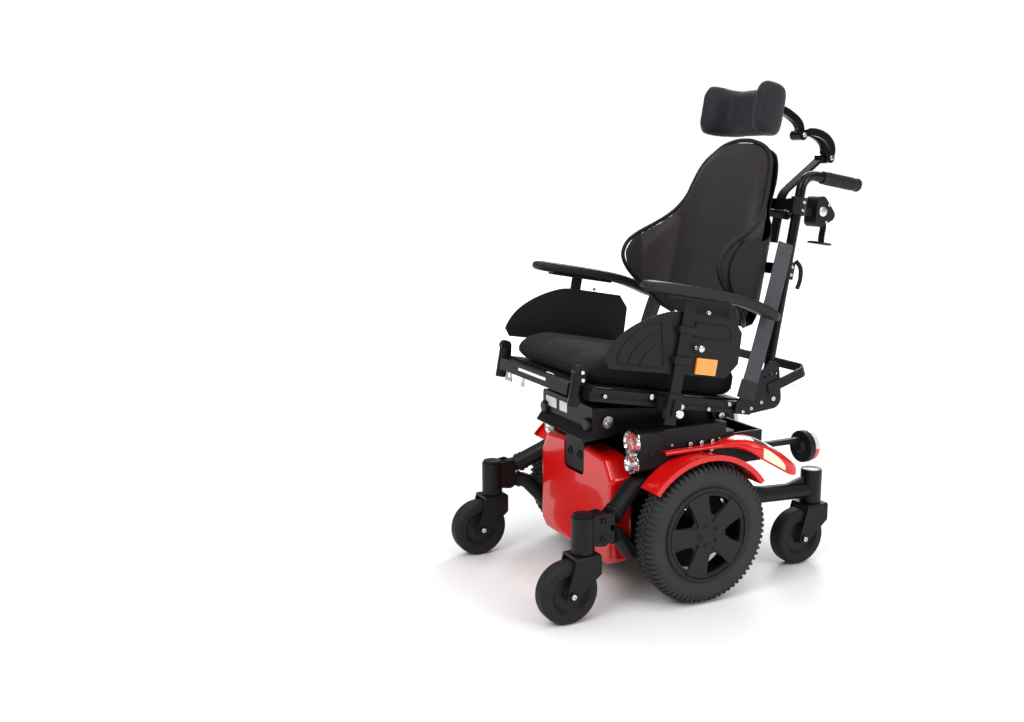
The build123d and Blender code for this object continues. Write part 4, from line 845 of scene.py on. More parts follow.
# ---------------------------------------------------------------- frame finishes
class WHEELCHAIR_OT_frame_finishes(bpy.types.Operator):
    """Paint the CAD nodes that stay as they are"""

    bl_idname = "wheelchair.frame_finishes"
    bl_label = "Frame finishes"

    def execute(self, context):
        paint(
            powder_black(),
            "chassis_frame", "base_deck", "tilt_module", "seat_frame", "seat_pan",
            "recline_brackets", "rear_loop", "legrest_receivers", "armrest_sockets",
            *both("armrest_post", "front_upper_arm", "front_lower_arm", "front_caster_head",
                  "rear_arm", "front_caster_fork", "rear_caster_fork"),
        )
        paint(gloss_black(), "back_frame", "headrest_bar", "headrest_link_rear",
              "headrest_link_front")
        paint(red_paint(), "front_shroud", "mudguards")
        paint(rim_plastic(), *both("drive_rim"))
        paint(moulded_black(), "lamp_housings", "battery_pair", "drive_motors", "belt_reel",
              "back_shell", *both("side_guard"))
        paint(polyurethane(), "push_grips")
        paint(zinc(), "base_bolts", "seat_fasteners")
        paint(chrome(), "tilt_rod")
        paint(powder_black(), "tilt_actuator")
        paint(coloured_lens("lever_red", (0.62, 0.01, 0.012), 0.3), *both("freewheel_lever"))
        for end in ("front", "rear"):
            for _, hand in HANDS:
                centre = Vector(JOINTS[f"{end}_wheel_spin_{hand}"]["pos_m"])
                paint(caster_rubber(centre, 0.047), f"{end}_caster_wheel_{hand}")
        return {"FINISHED"}


# ---------------------------------------------------------------- drive wheels
TYRE_R = 177.0
SHOULDER_X = 31.0
SHOULDER_DROP = 7.0
COVER_FACE_X = 32.0  # outer face of the wheel cover, from the wheel's middle
SPOKES = 5


def crown_radius(x):
    """Radius of the tyre's crown at a distance x from its middle."""
    return TYRE_R - SHOULDER_DROP * (x / SHOULDER_X) ** 2


class WHEELCHAIR_OT_drive_tyres(bpy.types.Operator):
    """Build the treaded drive tyres"""

    bl_idname = "wheelchair.drive_tyres"
    bl_label = "Drive tyres"

    def execute(self, context):
        rubber = tyre_rubber()
        depth = sizes().lug_depth / MM
        pitch = TAU / sizes().lugs
        for _, name in HANDS:
            centre = Vector(JOINTS[f"drive_wheel_spin_{name}"]["pos_m"])
            tyre = Shape()
            tyre.lathe(self.carcass(depth), centre, (1, 0, 0), 144)
            for k in range(sizes().lugs):
                for flank in (1, -1):
                    angle = pitch * (k + (0.5 if flank < 0 else 0))
                    self.lug(tyre, centre, flank, angle, pitch, self.chevron(depth))
                    self.lug(tyre, centre, flank, angle, pitch, self.shoulder(depth))
            made = tyre.piece(f"drive_tyre_tread_{name}", f"drive_wheel_{name}", rubber,
                              "tyre_rubber", sharp=32)
            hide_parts(f"drive_tyre_{name}")
        return {"FINISHED"}

    @staticmethod
    def carcass(depth):
        """Closed section of the tyre under the lugs, with two moulded rings on each wall."""
        half = [(0.0, TYRE_R - depth)]
        for x in (12.0, 22.0, SHOULDER_X - 2):
            half.append((x, crown_radius(x) - depth))
        half += [
            (33.6, 160.0), (35.6, 154.0), (36.4, 150.6), (37.0, 150.0), (37.0, 148.4),
            (36.5, 147.8), (36.3, 140.0), (35.4, 134.0), (34.2, 130.4), (34.6, 129.6),
            (34.0, 128.2), (33.0, 127.4), (30.4, 122.0), (27.2, 116.0), (27.0, 113.0),
        ]
        return half + [(-x, r) for x, r in reversed(half[1:])]

    @staticmethod
    def chevron(depth):
        """Stations (x, foot radius, top x, top radius, start and end in pitches) of an arm."""
        foot = depth + 1
        stations = []
        for x, start in ((0.5, 0.0), (7.0, 0.20), (14.5, 0.44)):
            top = crown_radius(x)
            stations.append((x, top - foot, x, top - 0.2, start, start + 0.52))
        return stations

    @staticmethod
    def shoulder(depth):
        """Stations of a shoulder lug that turns down on to the wall."""
        inner, edge = 18.0, SHOULDER_X - 0.5
        return [
            (inner, crown_radius(inner) - depth - 1, inner, crown_radius(inner) - 0.2, 0.60, 1.10),
            (edge - 1, crown_radius(edge) - depth - 1, edge, crown_radius(edge), 0.66, 1.20),
            (33.0, 161.0, 35.4, 164.0, 0.66, 1.20),
            (34.4, 155.0, 36.4, 156.5, 0.72, 1.14),
        ]

    @staticmethod
    def lug(tyre, centre, flank, angle, pitch, stations):
        """Skins one lug through its stations."""
        rings = []
        taper = 0.06
        for x, foot, top_x, top, start, end in stations:
            ring = []
            for px, radius, share in (
                (x, foot, start), (x, foot, end), (top_x, top, end - taper),
                (top_x, top, start + taper),
            ):
                turn = angle + share * pitch
                ring.append(
                    centre
                    + Vector((flank * px, radius * math.cos(turn), radius * math.sin(turn))) * MM
                )
            rings.append(ring)
        tyre.rings(rings)


class WHEELCHAIR_OT_wheel_trim(bpy.types.Operator):
    """Add the wheel covers' rings, spokes and bolts, the inner shields and the valves"""

    bl_idname = "wheelchair.wheel_trim"
    bl_label = "Wheel trim"

    def execute(self, context):
        plastic = rim_plastic()
        steel = zinc()
        for hand, name in HANDS:
            centre = Vector(JOINTS[f"drive_wheel_spin_{name}"]["pos_m"])
            body = f"drive_wheel_{name}"
            axis = (hand, 0, 0)
            ring = Shape()
            ring.lathe(
                [(28, 113), (28, 119), (31, 119.6), (33.5, 118), (34.5, 114), (34, 110.5),
                 (31, 109.5), (29, 110)],
                centre, axis, 96,
            )
            ring.lathe(
                [(29, 101), (31.5, 101), (32, 103), (31.5, 105), (29, 105)], centre, axis, 96
            )
            ring.piece(f"wheel_cover_ring_{name}", body, plastic, "rim_black")
            cover = Shape()
            self.spokes(cover, centre, hand)
            cover.lathe(
                [(COVER_FACE_X - 4, 0.5), (COVER_FACE_X - 4, 37), (COVER_FACE_X, 37),
                 (COVER_FACE_X + 2.4, 35), (COVER_FACE_X + 3.4, 30), (COVER_FACE_X + 3.6, 0.5)],
                centre, axis, 64,
            )
            cover.piece(f"wheel_cover_spokes_{name}", body, plastic, "rim_black")
            bolts = Shape()
            bolt_x = hand * (COVER_FACE_X + 3.3)
            bolt_circle_r = 25
            for k in range(SPOKES):
                turn = TAU * (k + 0.5) / SPOKES
                offset = Vector(
                    (bolt_x, math.cos(turn) * bolt_circle_r, math.sin(turn) * bolt_circle_r)
                )
                bolts.socket_screw(centre + offset * MM, axis, 5.2, 2.8)
            bolts.piece(f"wheel_cover_bolts_{name}", body, plastic, "rim_black")
            shield = Shape()
            shield.lathe(
                [(-42, 44), (-42, 104), (-39, 104), (-38.4, 96), (-39.6, 92), (-39.6, 60),
                 (-38.4, 56), (-38.4, 44)],
                centre, axis, 64,
            )
            shield.piece(f"wheel_shield_{name}", "base", moulded_black(), "housing_black")
            valve = Shape()
            spot = centre + Vector((hand * 24, -72, 78)) * MM
            valve.tube([spot, spot + Vector((hand * 9, 4, -4)) * MM], 2.6, 12)
            valve.piece(f"tyre_valve_{name}", body, steel, "bolt_steel")
        return {"FINISHED"}

    @staticmethod
    def spokes(cover, centre, hand):
        """Broad raised spokes between the hub and the rim."""
        for k in range(SPOKES):
            turn = TAU * (k + 0.5) / SPOKES

            def place(u, v, w):
                y = u * math.cos(turn) - v * math.sin(turn)
                z = u * math.sin(turn) + v * math.cos(turn)
                return centre + Vector((hand * (COVER_FACE_X - 3 + w), y, z)) * MM

            outline = [(30, -20), (66, -23.5), (104, -31), (107, -24), (108.5, 0), (107, 24),
                       (104, 31), (66, 23.5), (30, 20)]
            cover.plate(outline, 4.6, place, 1.6)


# ---------------------------------------------------------------- cushions
CUSHION_HALF = (216.0, 218.0, 38.0)
CUSHION_MIDDLE = (0.0, -227.0, 95.5)
FRONT_START = 120.0  # where the cushion starts to fall away, forward of its middle
FRONT_RUN = 98.0


def front_share(y):
    """Share from 0 to 1 of the way down the cushion's front slope."""
    return max(0.0, (-y - FRONT_START) / FRONT_RUN)


def rounded(u, v, w, half, radius):
    """Point of a rounded box of those half sizes, for a point of the cube from -1 to 1."""
    point = Vector((u * half[0], v * half[1], w * half[2]))
    core = Vector(
        max(-h + radius, min(h - radius, part)) for part, h in zip(point, half)
    )
    out = point - core
    return core + out.normalized() * radius if out.length > 1e-9 else point


class WHEELCHAIR_OT_seat_cushion(bpy.types.Operator):
    """Make the contoured seat cushion and its piping"""

    bl_idname = "wheelchair.seat_cushion"
    bl_label = "Seat cushion"

    def execute(self, context):
        fabric = knit("seat_knit", colours().seat_cover, 0.0024, 0.0003)

        def place(u, v, w):
            p = rounded(u, v, w, [h - 4 for h in CUSHION_HALF], 24)
            lift = (w + 1) / 2
            front = front_share(p.y)
            p.z -= lift * 30 * front**2
            thigh = math.exp(-(((abs(p.x) - 95) / 55) ** 2))
            p.z -= lift * 7 * thigh * (1 - front)
            p.z -= lift * 9 * math.exp(-((p.x / 120) ** 2) - (((p.y - 90) / 90) ** 2))
            return seat(*(p + Vector(CUSHION_MIDDLE)))

        pad = cushion_block("seat_cushion_cover", 26, place)
        stuff(pad, 0.006, 3.0, 0.006)
        dress(pad, "seat", fabric, "seat_cushion")
        tree = surface_of(pad)
        trim = Shape()
        for height in (74.0, 112.0):
            outline = round_rect(2 * CUSHION_HALF[0] + 4, 2 * CUSHION_HALF[1] + 4, 26, 5)
            path = []
            for x, y in [*outline, outline[0]]:
                drop = 26 * front_share(y) ** 2 if height > 90 else 0
                path.append(seat(x, y + CUSHION_MIDDLE[1], height - drop))
            seam(trim, tree, path, sizes().piping / MM, 3)
        trim.piece("seat_cushion_piping", "seat", fabric, "cushion_fabric")
        return {"FINISHED"}


BACK_MID_Y = 27.0
BACK_STRAIGHT = 92.0
BACK_BEND_R = 112.0
BACK_BEND = math.radians(82)
# Rows of height and reach: how far each wing runs from the middle, along the surface.
REACH_ROWS = (
    (228, 118), (236, 158), (252, 196), (275, 226), (300, 262), (330, 302), (360, 326),
    (388, 330), (415, 318), (440, 292), (470, 250), (500, 216), (530, 192), (560, 176),
    (600, 164), (640, 150), (670, 130), (695, 98), (708, 66), (715, 24),
)
REACH = [
    (p.x, p.y) for p in curve_through([Vector((z, reach, 0)) for z, reach in REACH_ROWS], 5)
]


def back_point(reach, height, depth):
    """Point of the back: arc length from the middle, height, and depth towards the shell."""
    spot, out = winged_path(reach, BACK_MID_Y, BACK_STRAIGHT, BACK_BEND_R, BACK_BEND)
    spot = spot + out * depth
    return seat(spot.x, spot.y, height)


class WHEELCHAIR_OT_back_cushion(bpy.types.Operator):
    """Make the winged back cushion, its seams and the shell's rounded edge"""

    bl_idname = "wheelchair.back_cushion"
    bl_label = "Back cushion"

    def execute(self, context):
        fabric = spacer_knit(colours().back_cover)
        low, high = 228.0, 714.0

        def place(u, v, w):
            # even out the square's corners so the edge is one round line
            height = (low + high) / 2 + v * (high - low) / 2
            reach = table_value(REACH, height) * u
            edge = (1 - abs(u) ** 7) ** 0.5 * (1 - abs(v) ** 9) ** 0.5
            wing = min(1.0, max(0.0, (abs(reach) - 120) / 140))
            half = (18 - 7 * wing) * max(edge, 0.12)
            return back_point(reach, height, w * half - 1)

        pad = cushion_block("back_cushion_cover", 40, place)
        stuff(pad, 0.005, 3.0, 0.0055)
        dress(pad, "back", fabric, "back_cushion")
        tree = surface_of(pad)
        trim = Shape()
        radius = sizes().piping / MM
        for side in (1, -1):
            for rows in (
                ((196, 548), (172, 500), (163, 450), (160, 400), (166, 350), (180, 300)),
                ((214, 520), (196, 470), (190, 410), (196, 350), (210, 306)),
            ):
                seam(trim, tree, [back_point(side * a, z, -26) for a, z in rows], radius * 0.7)
        trim.piece("back_cushion_seams", "back", fabric, "back_fabric")
        edge = Shape()
        heights = range(int(low) + 8, int(high) - 2, 12)
        flank = [(table_value(REACH, z) - 2, z) for z in heights]
        top = [(34, high), (0, high + 2), (-34, high)]
        outline = [*flank, *top, *((-reach, z) for reach, z in reversed(flank))]
        path = [back_point(reach, z, 7) for reach, z in outline]
        edge.tube(curve_through(path, 3), 5.5, 12)
        edge.piece("back_shell_edge", "back", moulded_black(), "shell_black")
        return {"FINISHED"}


HEAD_MID_Y = 56.0
HEAD_STRAIGHT = 52.0
HEAD_BEND_R = 52.0
HEAD_BEND = math.radians(76)
HEAD_REACH = 174.0
HEAD_MID_Z = 792.5
HEAD_MOUNT_Z = 795.0


def head_point(reach, height, depth):
    """Point of the headrest: arc length from its middle, height, and depth to the rear."""
    spot, out = winged_path(reach, HEAD_MID_Y, HEAD_STRAIGHT, HEAD_BEND_R, HEAD_BEND)
    spot = spot + out * depth
    return seat(spot.x, spot.y, height)


class WHEELCHAIR_OT_headrest(bpy.types.Operator):
    """Make the winged headrest, its seams and the cup and necks of its mount"""

    bl_idname = "wheelchair.headrest"
    bl_label = "Headrest"

    def execute(self, context):
        fabric = stretch_fabric()

        def place(u, v, w):
            waist = 67 + 4 * (abs(u) ** 3)
            corner = (1 - abs(u) ** 8) ** 0.35 if abs(u) < 1 else 0.0
            height = v * waist * (0.55 + 0.45 * corner)
            half = (24 + 2 * abs(u)) * (max(0.0, 1 - abs(v) ** 5)) ** 0.5
            half = half * (max(0.0, 1 - abs(u) ** 14)) ** 0.5
            return head_point(u * HEAD_REACH, HEAD_MID_Z + height, w * max(half, 3.0))

        pad = cushion_block("headrest_cover", 26, place)
        stuff(pad, 0.006, 4.0, 0.0045)
        dress(pad, "headrest", fabric, "headrest_pad")
        tree = surface_of(pad)
        trim = Shape()
        radius = sizes().piping / MM
        half_seam, clear = 66, 30  # half height of a seam, and how far off it is drawn
        for side in (1, -1):
            for reach in (58, 112):
                path = [
                    head_point(side * (reach - 8 * (1 - v * v)), HEAD_MID_Z + v * half_seam, -clear)
                    for v in (-0.95, -0.6, 0, 0.6, 0.95)
                ]
                seam(trim, tree, path, radius * 0.6)
            path = [
                head_point(
                    side * (HEAD_REACH - 26 + 4 * v * v), HEAD_MID_Z + v * half_seam, clear
                )
                for v in (-0.9, -0.5, 0, 0.5, 0.9)
            ]
            seam(trim, tree, path, radius * 0.6)
        trim.piece("headrest_seams", "headrest", fabric, "head_fabric")
        mount = Shape()
        mount.lathe([(0, 0.5), (0, 26), (4, 26), (7, 20), (9, 12), (9, 0.5)],
                    seat(0, 55, HEAD_MOUNT_Z), SEAT_REAR)
        for x in (-16.5, 16.5):
            mount.tube([seat(x, y, HEAD_MOUNT_Z) for y in (58, 72, 86)], [11, 10, 9], 16)
        mount.piece("headrest_mount", "headrest", moulded_black(), "housing_black")
        return {"FINISHED"}


ARMREST_X = 277.0


class WHEELCHAIR_OT_armrest_pads(bpy.types.Operator):
    """Mould the armrest pads"""

    bl_idname = "wheelchair.armrest_pads"
    bl_label = "Armrest pads"

    def execute(self, context):
        skin = polyurethane()
        # stations from front to rear: y, underside z, top z, half width
        stations = (
            (-384, 302, 308, 10), (-381, 297, 314, 20), (-372, 293.5, 318, 26),
            (-352, 292, 319.6, 27.6), (-300, 292, 320, 28), (-220, 292, 320, 28),
            (-150, 291.5, 319, 28), (-100, 288, 315, 28), (-50, 278, 306, 27.5),
            (-14, 268, 296, 26.5), (6, 264, 288.5, 23), (14, 268, 284, 14),
        )
        for hand, name in HANDS:
            pad = Shape()
            rings = []
            for y, low, high, half in stations:
                ring = []
                for k in range(40):
                    angle = TAU * k / 40
                    c, s = math.cos(angle), math.sin(angle)
                    x = half * math.copysign(abs(c) ** 0.45, c)
                    z = (high - low) / 2 * math.copysign(abs(s) ** 0.55, s)
                    ring.append(seat(hand * (ARMREST_X + x), y, (high + low) / 2 + z))
                rings.append(ring)
            pad.rings(rings)
            body = f"armrest_{name}"
            made = pad.piece(f"armrest_pad_skin_{name}", body, skin, "pad_black", 60)
            finer = made.modifiers.new("finer", "SUBSURF")
            finer.levels = finer.render_levels = 1
            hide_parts(f"armrest_pad_{name}")
        return {"FINISHED"}


# ---------------------------------------------------------------- side guards and posts
GUARD_FACE_X = 268.0
MARKER_Y = -166.0
MARKER_Z = 133.0


def quarter(cy, cz, ry, rz, start, end, steps):
    """Arc of an ellipse in the seat's side view, from one angle to another in degrees."""
    points = []
    for k in range(steps + 1):
        angle = math.radians(start + (end - start) * k / steps)
        points.append((cy + ry * math.cos(angle), cz + rz * math.sin(angle)))
    return points


class WHEELCHAIR_OT_side_guards(bpy.types.Operator):
    """Add the side guards' ribs, screws and amber markers"""

    bl_idname = "wheelchair.side_guards"
    bl_label = "Side guards"

    def execute(self, context):
        plastic = moulded_black()
        # the amber markers get a faint painted glow (emission 0.1), though they are no lamps
        amber = coloured_lens("marker_amber", (0.95, 0.27, 0.01), 0.12, 0.1)
        steel = zinc()
        for hand, name in HANDS:
            body = f"armrest_{name}"
            ribs = Shape()
            for share in (0.86, 0.66, 0.46):
                arc = quarter(-277, 114, 163 * share, 132 * share, 172, 104, 24)
                self.rib(ribs, hand, [*arc, (-286, 118), (-277 - 158 * share, 118)])
            self.rib(ribs, hand, [(-214, 236), (-128, 236), (-108, 226), (-104, 204),
                                  (-116, 200), (-160, 200), (-214, 200)])
            ribs.piece(f"side_guard_ribs_{name}", body, plastic, "guard_black")
            for part, foot, outline, depth, chamfer in (
                ("side_marker", 0.4, round_rect(60, 40, 3), 6.5, 1.5),
                ("side_marker_lens", 6.4, round_rect(50, 30, 2), 1.2, 0.6),
            ):

                def place(u, v, w):
                    return seat(hand * (GUARD_FACE_X + foot + w), MARKER_Y + u, MARKER_Z + v)

                marker = Shape()
                marker.plate(outline, depth, place, chamfer)
                marker.piece(f"{part}_{name}", body, amber, "lens_red")
            screws = Shape()
            out = Vector((hand, 0, 0))
            for y, z in ((-206, 176), (-186, 262)):
                screws.socket_screw(seat(hand * (GUARD_FACE_X + 3), y, z), out, 5, 4)
            spot = seat(hand * (GUARD_FACE_X + 1), -200, 176)
            screws.tube([spot, spot + out * 0.016], 3.0, 12)
            screws.lathe([(12, 0.4), (12, 7), (14, 8), (20, 8), (21, 6), (21, 0.4)], spot, out, 20)
            screws.piece(f"side_guard_screws_{name}", body, steel, "bolt_steel")
            clamps = Shape()
            for z in (143, 216):
                self.band(clamps, hand, z)
            clamps.piece(f"post_clamps_{name}", body, plastic, "guard_black")
        return {"FINISHED"}

    @staticmethod
    def rib(ribs, hand, outline):
        """Closed raised rib along an outline of (y, z) on the guard's outer face."""
        loop = [seat(hand * (GUARD_FACE_X + 0.6), y, z) for y, z in outline]
        ribs.tube([*loop, loop[0]], 1.7, 8)

    @staticmethod
    def band(clamps, hand, z):
        """Strap clamp round the armrest post."""
        rings = []
        for dz, grow in ((-9, 0), (-8, 1), (8, 1), (9, 0)):
            outline = round_rect(20 + 2 * grow, 44 + 2 * grow, 5, 4)
            rings.append([seat(hand * (275 + u), -245 + v, z + dz) for u, v in outline])
        clamps.rings(rings)


# ---------------------------------------------------------------- straps and reel
REEL_X = 66.0
TONGUE_Z = 483.0


def strap(shape, points, width, thick, across, ribs=5, steps=8):
    """Flat webbing along a path of points, with raised ribs along its length."""
    path = curve_through(points, steps)
    count = len(path)
    profile = []
    samples = 30
    for k in range(samples + 1):
        s = 2 * k / samples - 1
        lift = 0.35 * math.cos(s * math.pi * ribs) + 0.35
        profile.append((s * width / 2, thick / 2 + lift))
    profile += [(s, -thick / 2) for s, _ in reversed(profile)]
    rings = []
    for i, point in enumerate(path):
        ahead = (path[min(i + 1, count - 1)] - path[max(i - 1, 0)]).normalized()
        side_dir = (across - ahead * across.dot(ahead)).normalized()
        face = side_dir.cross(ahead)
        rings.append([point + (side_dir * s + face * t) * MM for s, t in profile])
    shape.rings(rings)


class WHEELCHAIR_OT_straps(bpy.types.Operator):
    """Weave the harness straps and their sleeves"""

    bl_idname = "wheelchair.straps"
    bl_label = "Straps"

    def execute(self, context):
        weave = webbing("grey_webbing", colours().straps)
        sleeve = webbing("black_sleeve", (0.012, 0.012, 0.013))
        width = sizes().strap_width / MM
        belts = Shape()
        sleeves = Shape()
        for hand, _ in HANDS:
            path = [
                seat(hand * 256.5, -18, 74), seat(hand * 255, -8, 140),
                seat(hand * 252.5, 4, 230), seat(hand * 245, 20, 330),
                seat(hand * 238, 32, 410), seat(hand * 234.5, 38, 458),
            ]
            across = SEAT_FRAME.to_3x3() @ Vector((0, -hand, 0.1))
            strap(belts, path, width, 1.2, across)
            wrap = [seat(hand * 257, -20, 63), seat(hand * 256.5, -17, 84),
                    seat(hand * 256, -13, 108)]
            strap(sleeves, wrap, width + 5, 4.0, across, 1, 4)
        made = belts.piece("harness_webbing", "back", weave, "webbing_grey", 60)
        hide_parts("harness_straps")
        sleeves.piece("harness_sleeves", "seat", sleeve, "webbing_grey", 60)
        return {"FINISHED"}


class WHEELCHAIR_OT_belt_reel(bpy.types.Operator):
    """Hang the belt's tongue and wire loop, and add the reel's caps"""

    bl_idname = "wheelchair.belt_reel"
    bl_label = "Belt reel"

    def execute(self, context):
        plastic = moulded_black()
        hanging = Shape()
        strap(
            hanging,
            [seat(REEL_X, y, z) for y, z in ((290, 548), (296, 526), (296, 506), (298, 486))],
            22, 3.0, Vector((1, 0, 0)), 3, 5,
        )

        def place(u, v, w):
            return seat(REEL_X + u, 296 + v, TONGUE_Z - 3 + w)

        hanging.plate(round_rect(30, 46, 6), 6, place, 1.5)
        for wire in (
            ((-26, 276, 0), (-10, 276, 1), (10, 276, 1), (26, 276, 0)),
            ((-26, 276, 0), (-15, 320, 1)),
            ((26, 276, 0), (15, 320, 1)),
        ):
            hanging.tube([seat(REEL_X + x, y, TONGUE_Z + rise) for x, y, rise in wire], 3.0, 10)
        hanging.piece("belt_tongue", "back", plastic, "housing_black")
        rims = Shape()
        for x in (42, 90):
            rims.lathe([(-1, 0.5), (-1, 13), (2.2, 13), (2.8, 11), (2.8, 0.5)],
                       seat(x, 264, 566), (1 if x > REEL_X else -1, 0, 0), 32)
        for z in (540, 586):
            rims.socket_screw(seat(90, 280, z), Vector((1, 0, 0)), 4.5, 4)
        rims.piece("belt_reel_caps", "back", zinc(), "bolt_steel")
        return {"FINISHED"}


# ---------------------------------------------------------------- lamps
LAMP_FRONT_Y = -150.0
LAMP_WAIST_Z = 378.0
LENS_HALF = 26.0  # half the width of the plain lens
REAR_LENS_R = 40.0
INDICATOR = (404.0, 29.0)  # height and radius
HEADLIGHT = (348.0, 24.0)


def figure_eight(angle):
    """Distance of the lens's outline from its waist, in a direction."""
    reach = 0.0
    for step in range(8, 64):
        x, z = step * math.cos(angle), LAMP_WAIST_Z + step * math.sin(angle)
        inside = abs(x) < 15 and abs(z - LAMP_WAIST_Z) < 22
        for middle, radius in (INDICATOR, HEADLIGHT):
            inside = inside or math.hypot(x, z - middle) < radius
        if inside:
            reach = step
    return reach


class WHEELCHAIR_OT_lamps(bpy.types.Operator):
    """Build the lamps: bowls, bulbs and clear lenses in front, lenses and bezels behind"""

    bl_idname = "wheelchair.lamps"
    bl_label = "Lamps"

    def execute(self, context):
        bowls, lenses, bulbs, fixings, indicators = (Shape() for _ in range(5))
        forward = Vector((0, -1, 0))
        lamp_x = (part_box("front_lamp_lenses")[1].x / MM) - LENS_HALF
        side_x = lamp_x + LENS_HALF + 2
        for hand, _ in HANDS:
            middle_x = hand * lamp_x
            for height, radius in (INDICATOR, HEADLIGHT):
                centre = base(middle_x, LAMP_FRONT_Y, height)
                r = radius - 3
                bowls.lathe(
                    [(0.4, 0.4), (1.0, r * 0.3), (2.6, r * 0.62), (6.0, r * 0.88), (9.0, r),
                     (9.6, r + 0.9), (0.4, r + 0.9)],
                    centre, forward, 40,
                )
                bulbs.lathe([(1.0, 0.4), (1.0, 4), (7, 4), (9.5, 2.6), (10.4, 0.4)], centre,
                            forward, 20)
            indicators.lathe(
                [(3, 8), (3, 19), (5.5, 20), (6.0, 19), (4.6, 14), (4, 8)],
                base(middle_x, LAMP_FRONT_Y, INDICATOR[0]), forward, 32,
            )
            rings = []
            for share, depth in ((1.0, 0.3), (1.0, 9.0), (0.985, 12.5), (0.93, 15.4),
                                 (0.82, 17.0), (0.6, 17.8), (0.3, 18.0), (0.02, 18.0)):
                ring = []
                for k in range(72):
                    angle = TAU * k / 72
                    reach = figure_eight(angle) * share
                    ring.append(base(middle_x + reach * math.cos(angle), LAMP_FRONT_Y - depth,
                                     LAMP_WAIST_Z + reach * math.sin(angle)))
                rings.append(ring)
            lenses.rings(rings)
            fixings.lathe([(0, 0.5), (0, 10), (3.4, 9.4), (4.2, 7), (4.2, 0.5)],
                          base(hand * side_x, -118, 376), (hand, 0, 0), 28)
            for z in (338, 426):
                fixings.socket_screw(base(hand * side_x, -96, z), (hand, 0, 0), 3.6, 2.4)
        bowls.piece("front_lamp_bowls", "base", reflector(), "lens_clear")
        bulbs.piece("front_lamp_bulbs", "base", coloured_lens("bulb_glass", (0.8, 0.8, 0.78)),
                    "lens_clear")
        indicators.piece("front_indicator_rings", "base",
                         coloured_lens("indicator_red", (0.65, 0.05, 0.04)), "lens_red")
        made = lenses.piece("front_lamp_covers", "base", clear_lens(), "lens_clear", 30)
        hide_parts("front_lamp_lenses")
        fixings.piece("lamp_fixings", "base", moulded_black(), "housing_black")
        low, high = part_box("rear_lamp_lenses")
        split = (low.z + high.z) / 2
        paint(rear_lens(split), "rear_lamp_lenses")
        bezels = Shape()
        for hand, _ in HANDS:
            centre = Vector((hand * (high.x - REAR_LENS_R * MM), low.y, split))
            bezels.lathe([(-16.5, 39), (-16.5, 42.6), (-2, 42.6), (1.5, 41.6), (2.2, 40.2),
                          (0, 39.6)], centre, (0, 1, 0), 64)
            bezels.lathe([(-24, 0.5), (-24, 12), (-16, 20), (-15.5, 20), (-15.5, 0.5)], centre,
                         (0, 1, 0), 32)
        bezels.piece("rear_lamp_bezels", "base", moulded_black(), "housing_black")
        return {"FINISHED"}


# ---------------------------------------------------------------- covers, labels and hardware
# Side covers: at each y, height of the inner top edge, outer x, height of the outer top edge and
# of the lower edge.
COVER_PLATE_X = 240.0
COVER_SKIN = 2.6
COVER_ROWS = (
    (-88, 381, 257, 380, 374),
    (-40, 382, 259, 381, 375),
    (20, 383, 262, 382, 376),
    (70, 387, 268, 385, 377),
    (100, 394, 282, 389, 377),
    (130, 397, 298, 387, 368),
    (165, 392, 307, 378, 345),
    (205, 374, 310, 358, 322),
    (245, 350, 309, 334, 300),
    (272, 330, 302, 316, 292),
    (284, 318, 290, 308, 297),
)


def cover_sections():
    """Smooth run of the side cover's rows."""
    upper = curve_through([Vector((y, top, out)) for y, top, out, _, _ in COVER_ROWS], 6)
    lower = curve_through([Vector((y, edge, low)) for y, _, _, edge, low in COVER_ROWS], 6)
    return [(u.x, u.y, u.z, v.y, v.z) for u, v in zip(upper, lower)]


def cover_skin(section):
    """Outer skin of one section, from the plate over the shoulder to the lower edge."""
    _, top, out, edge, low = section
    drop = min(9.0, (edge - low) * 0.5)
    width = out - COVER_PLATE_X
    return [
        (COVER_PLATE_X, top),
        (COVER_PLATE_X + 0.35 * width, top + 0.25 * (edge - top) + 1.5),
        (COVER_PLATE_X + 0.7 * width, top + 0.7 * (edge - top) + 1.5),
        (out - 0.6 * drop, edge),
        (out - 0.2 * drop, edge - 0.35 * drop),
        (out, edge - drop),
        (out, low),
    ]


def skin_point(skin, share):
    """Point of a skin at a share of its length, from 0 at the plate to 1 at the lower edge."""
    lengths = [math.dist(a, b) for a, b in zip(skin, skin[1:])]
    left = share * sum(lengths)
    for (a, b), length in zip(zip(skin, skin[1:]), lengths):
        if left <= length or (a, b) == (skin[-2], skin[-1]):
            t = min(1.0, left / max(length, 1e-6))
            return a[0] + (b[0] - a[0]) * t, a[1] + (b[1] - a[1]) * t
        left -= length
    return skin[-1]


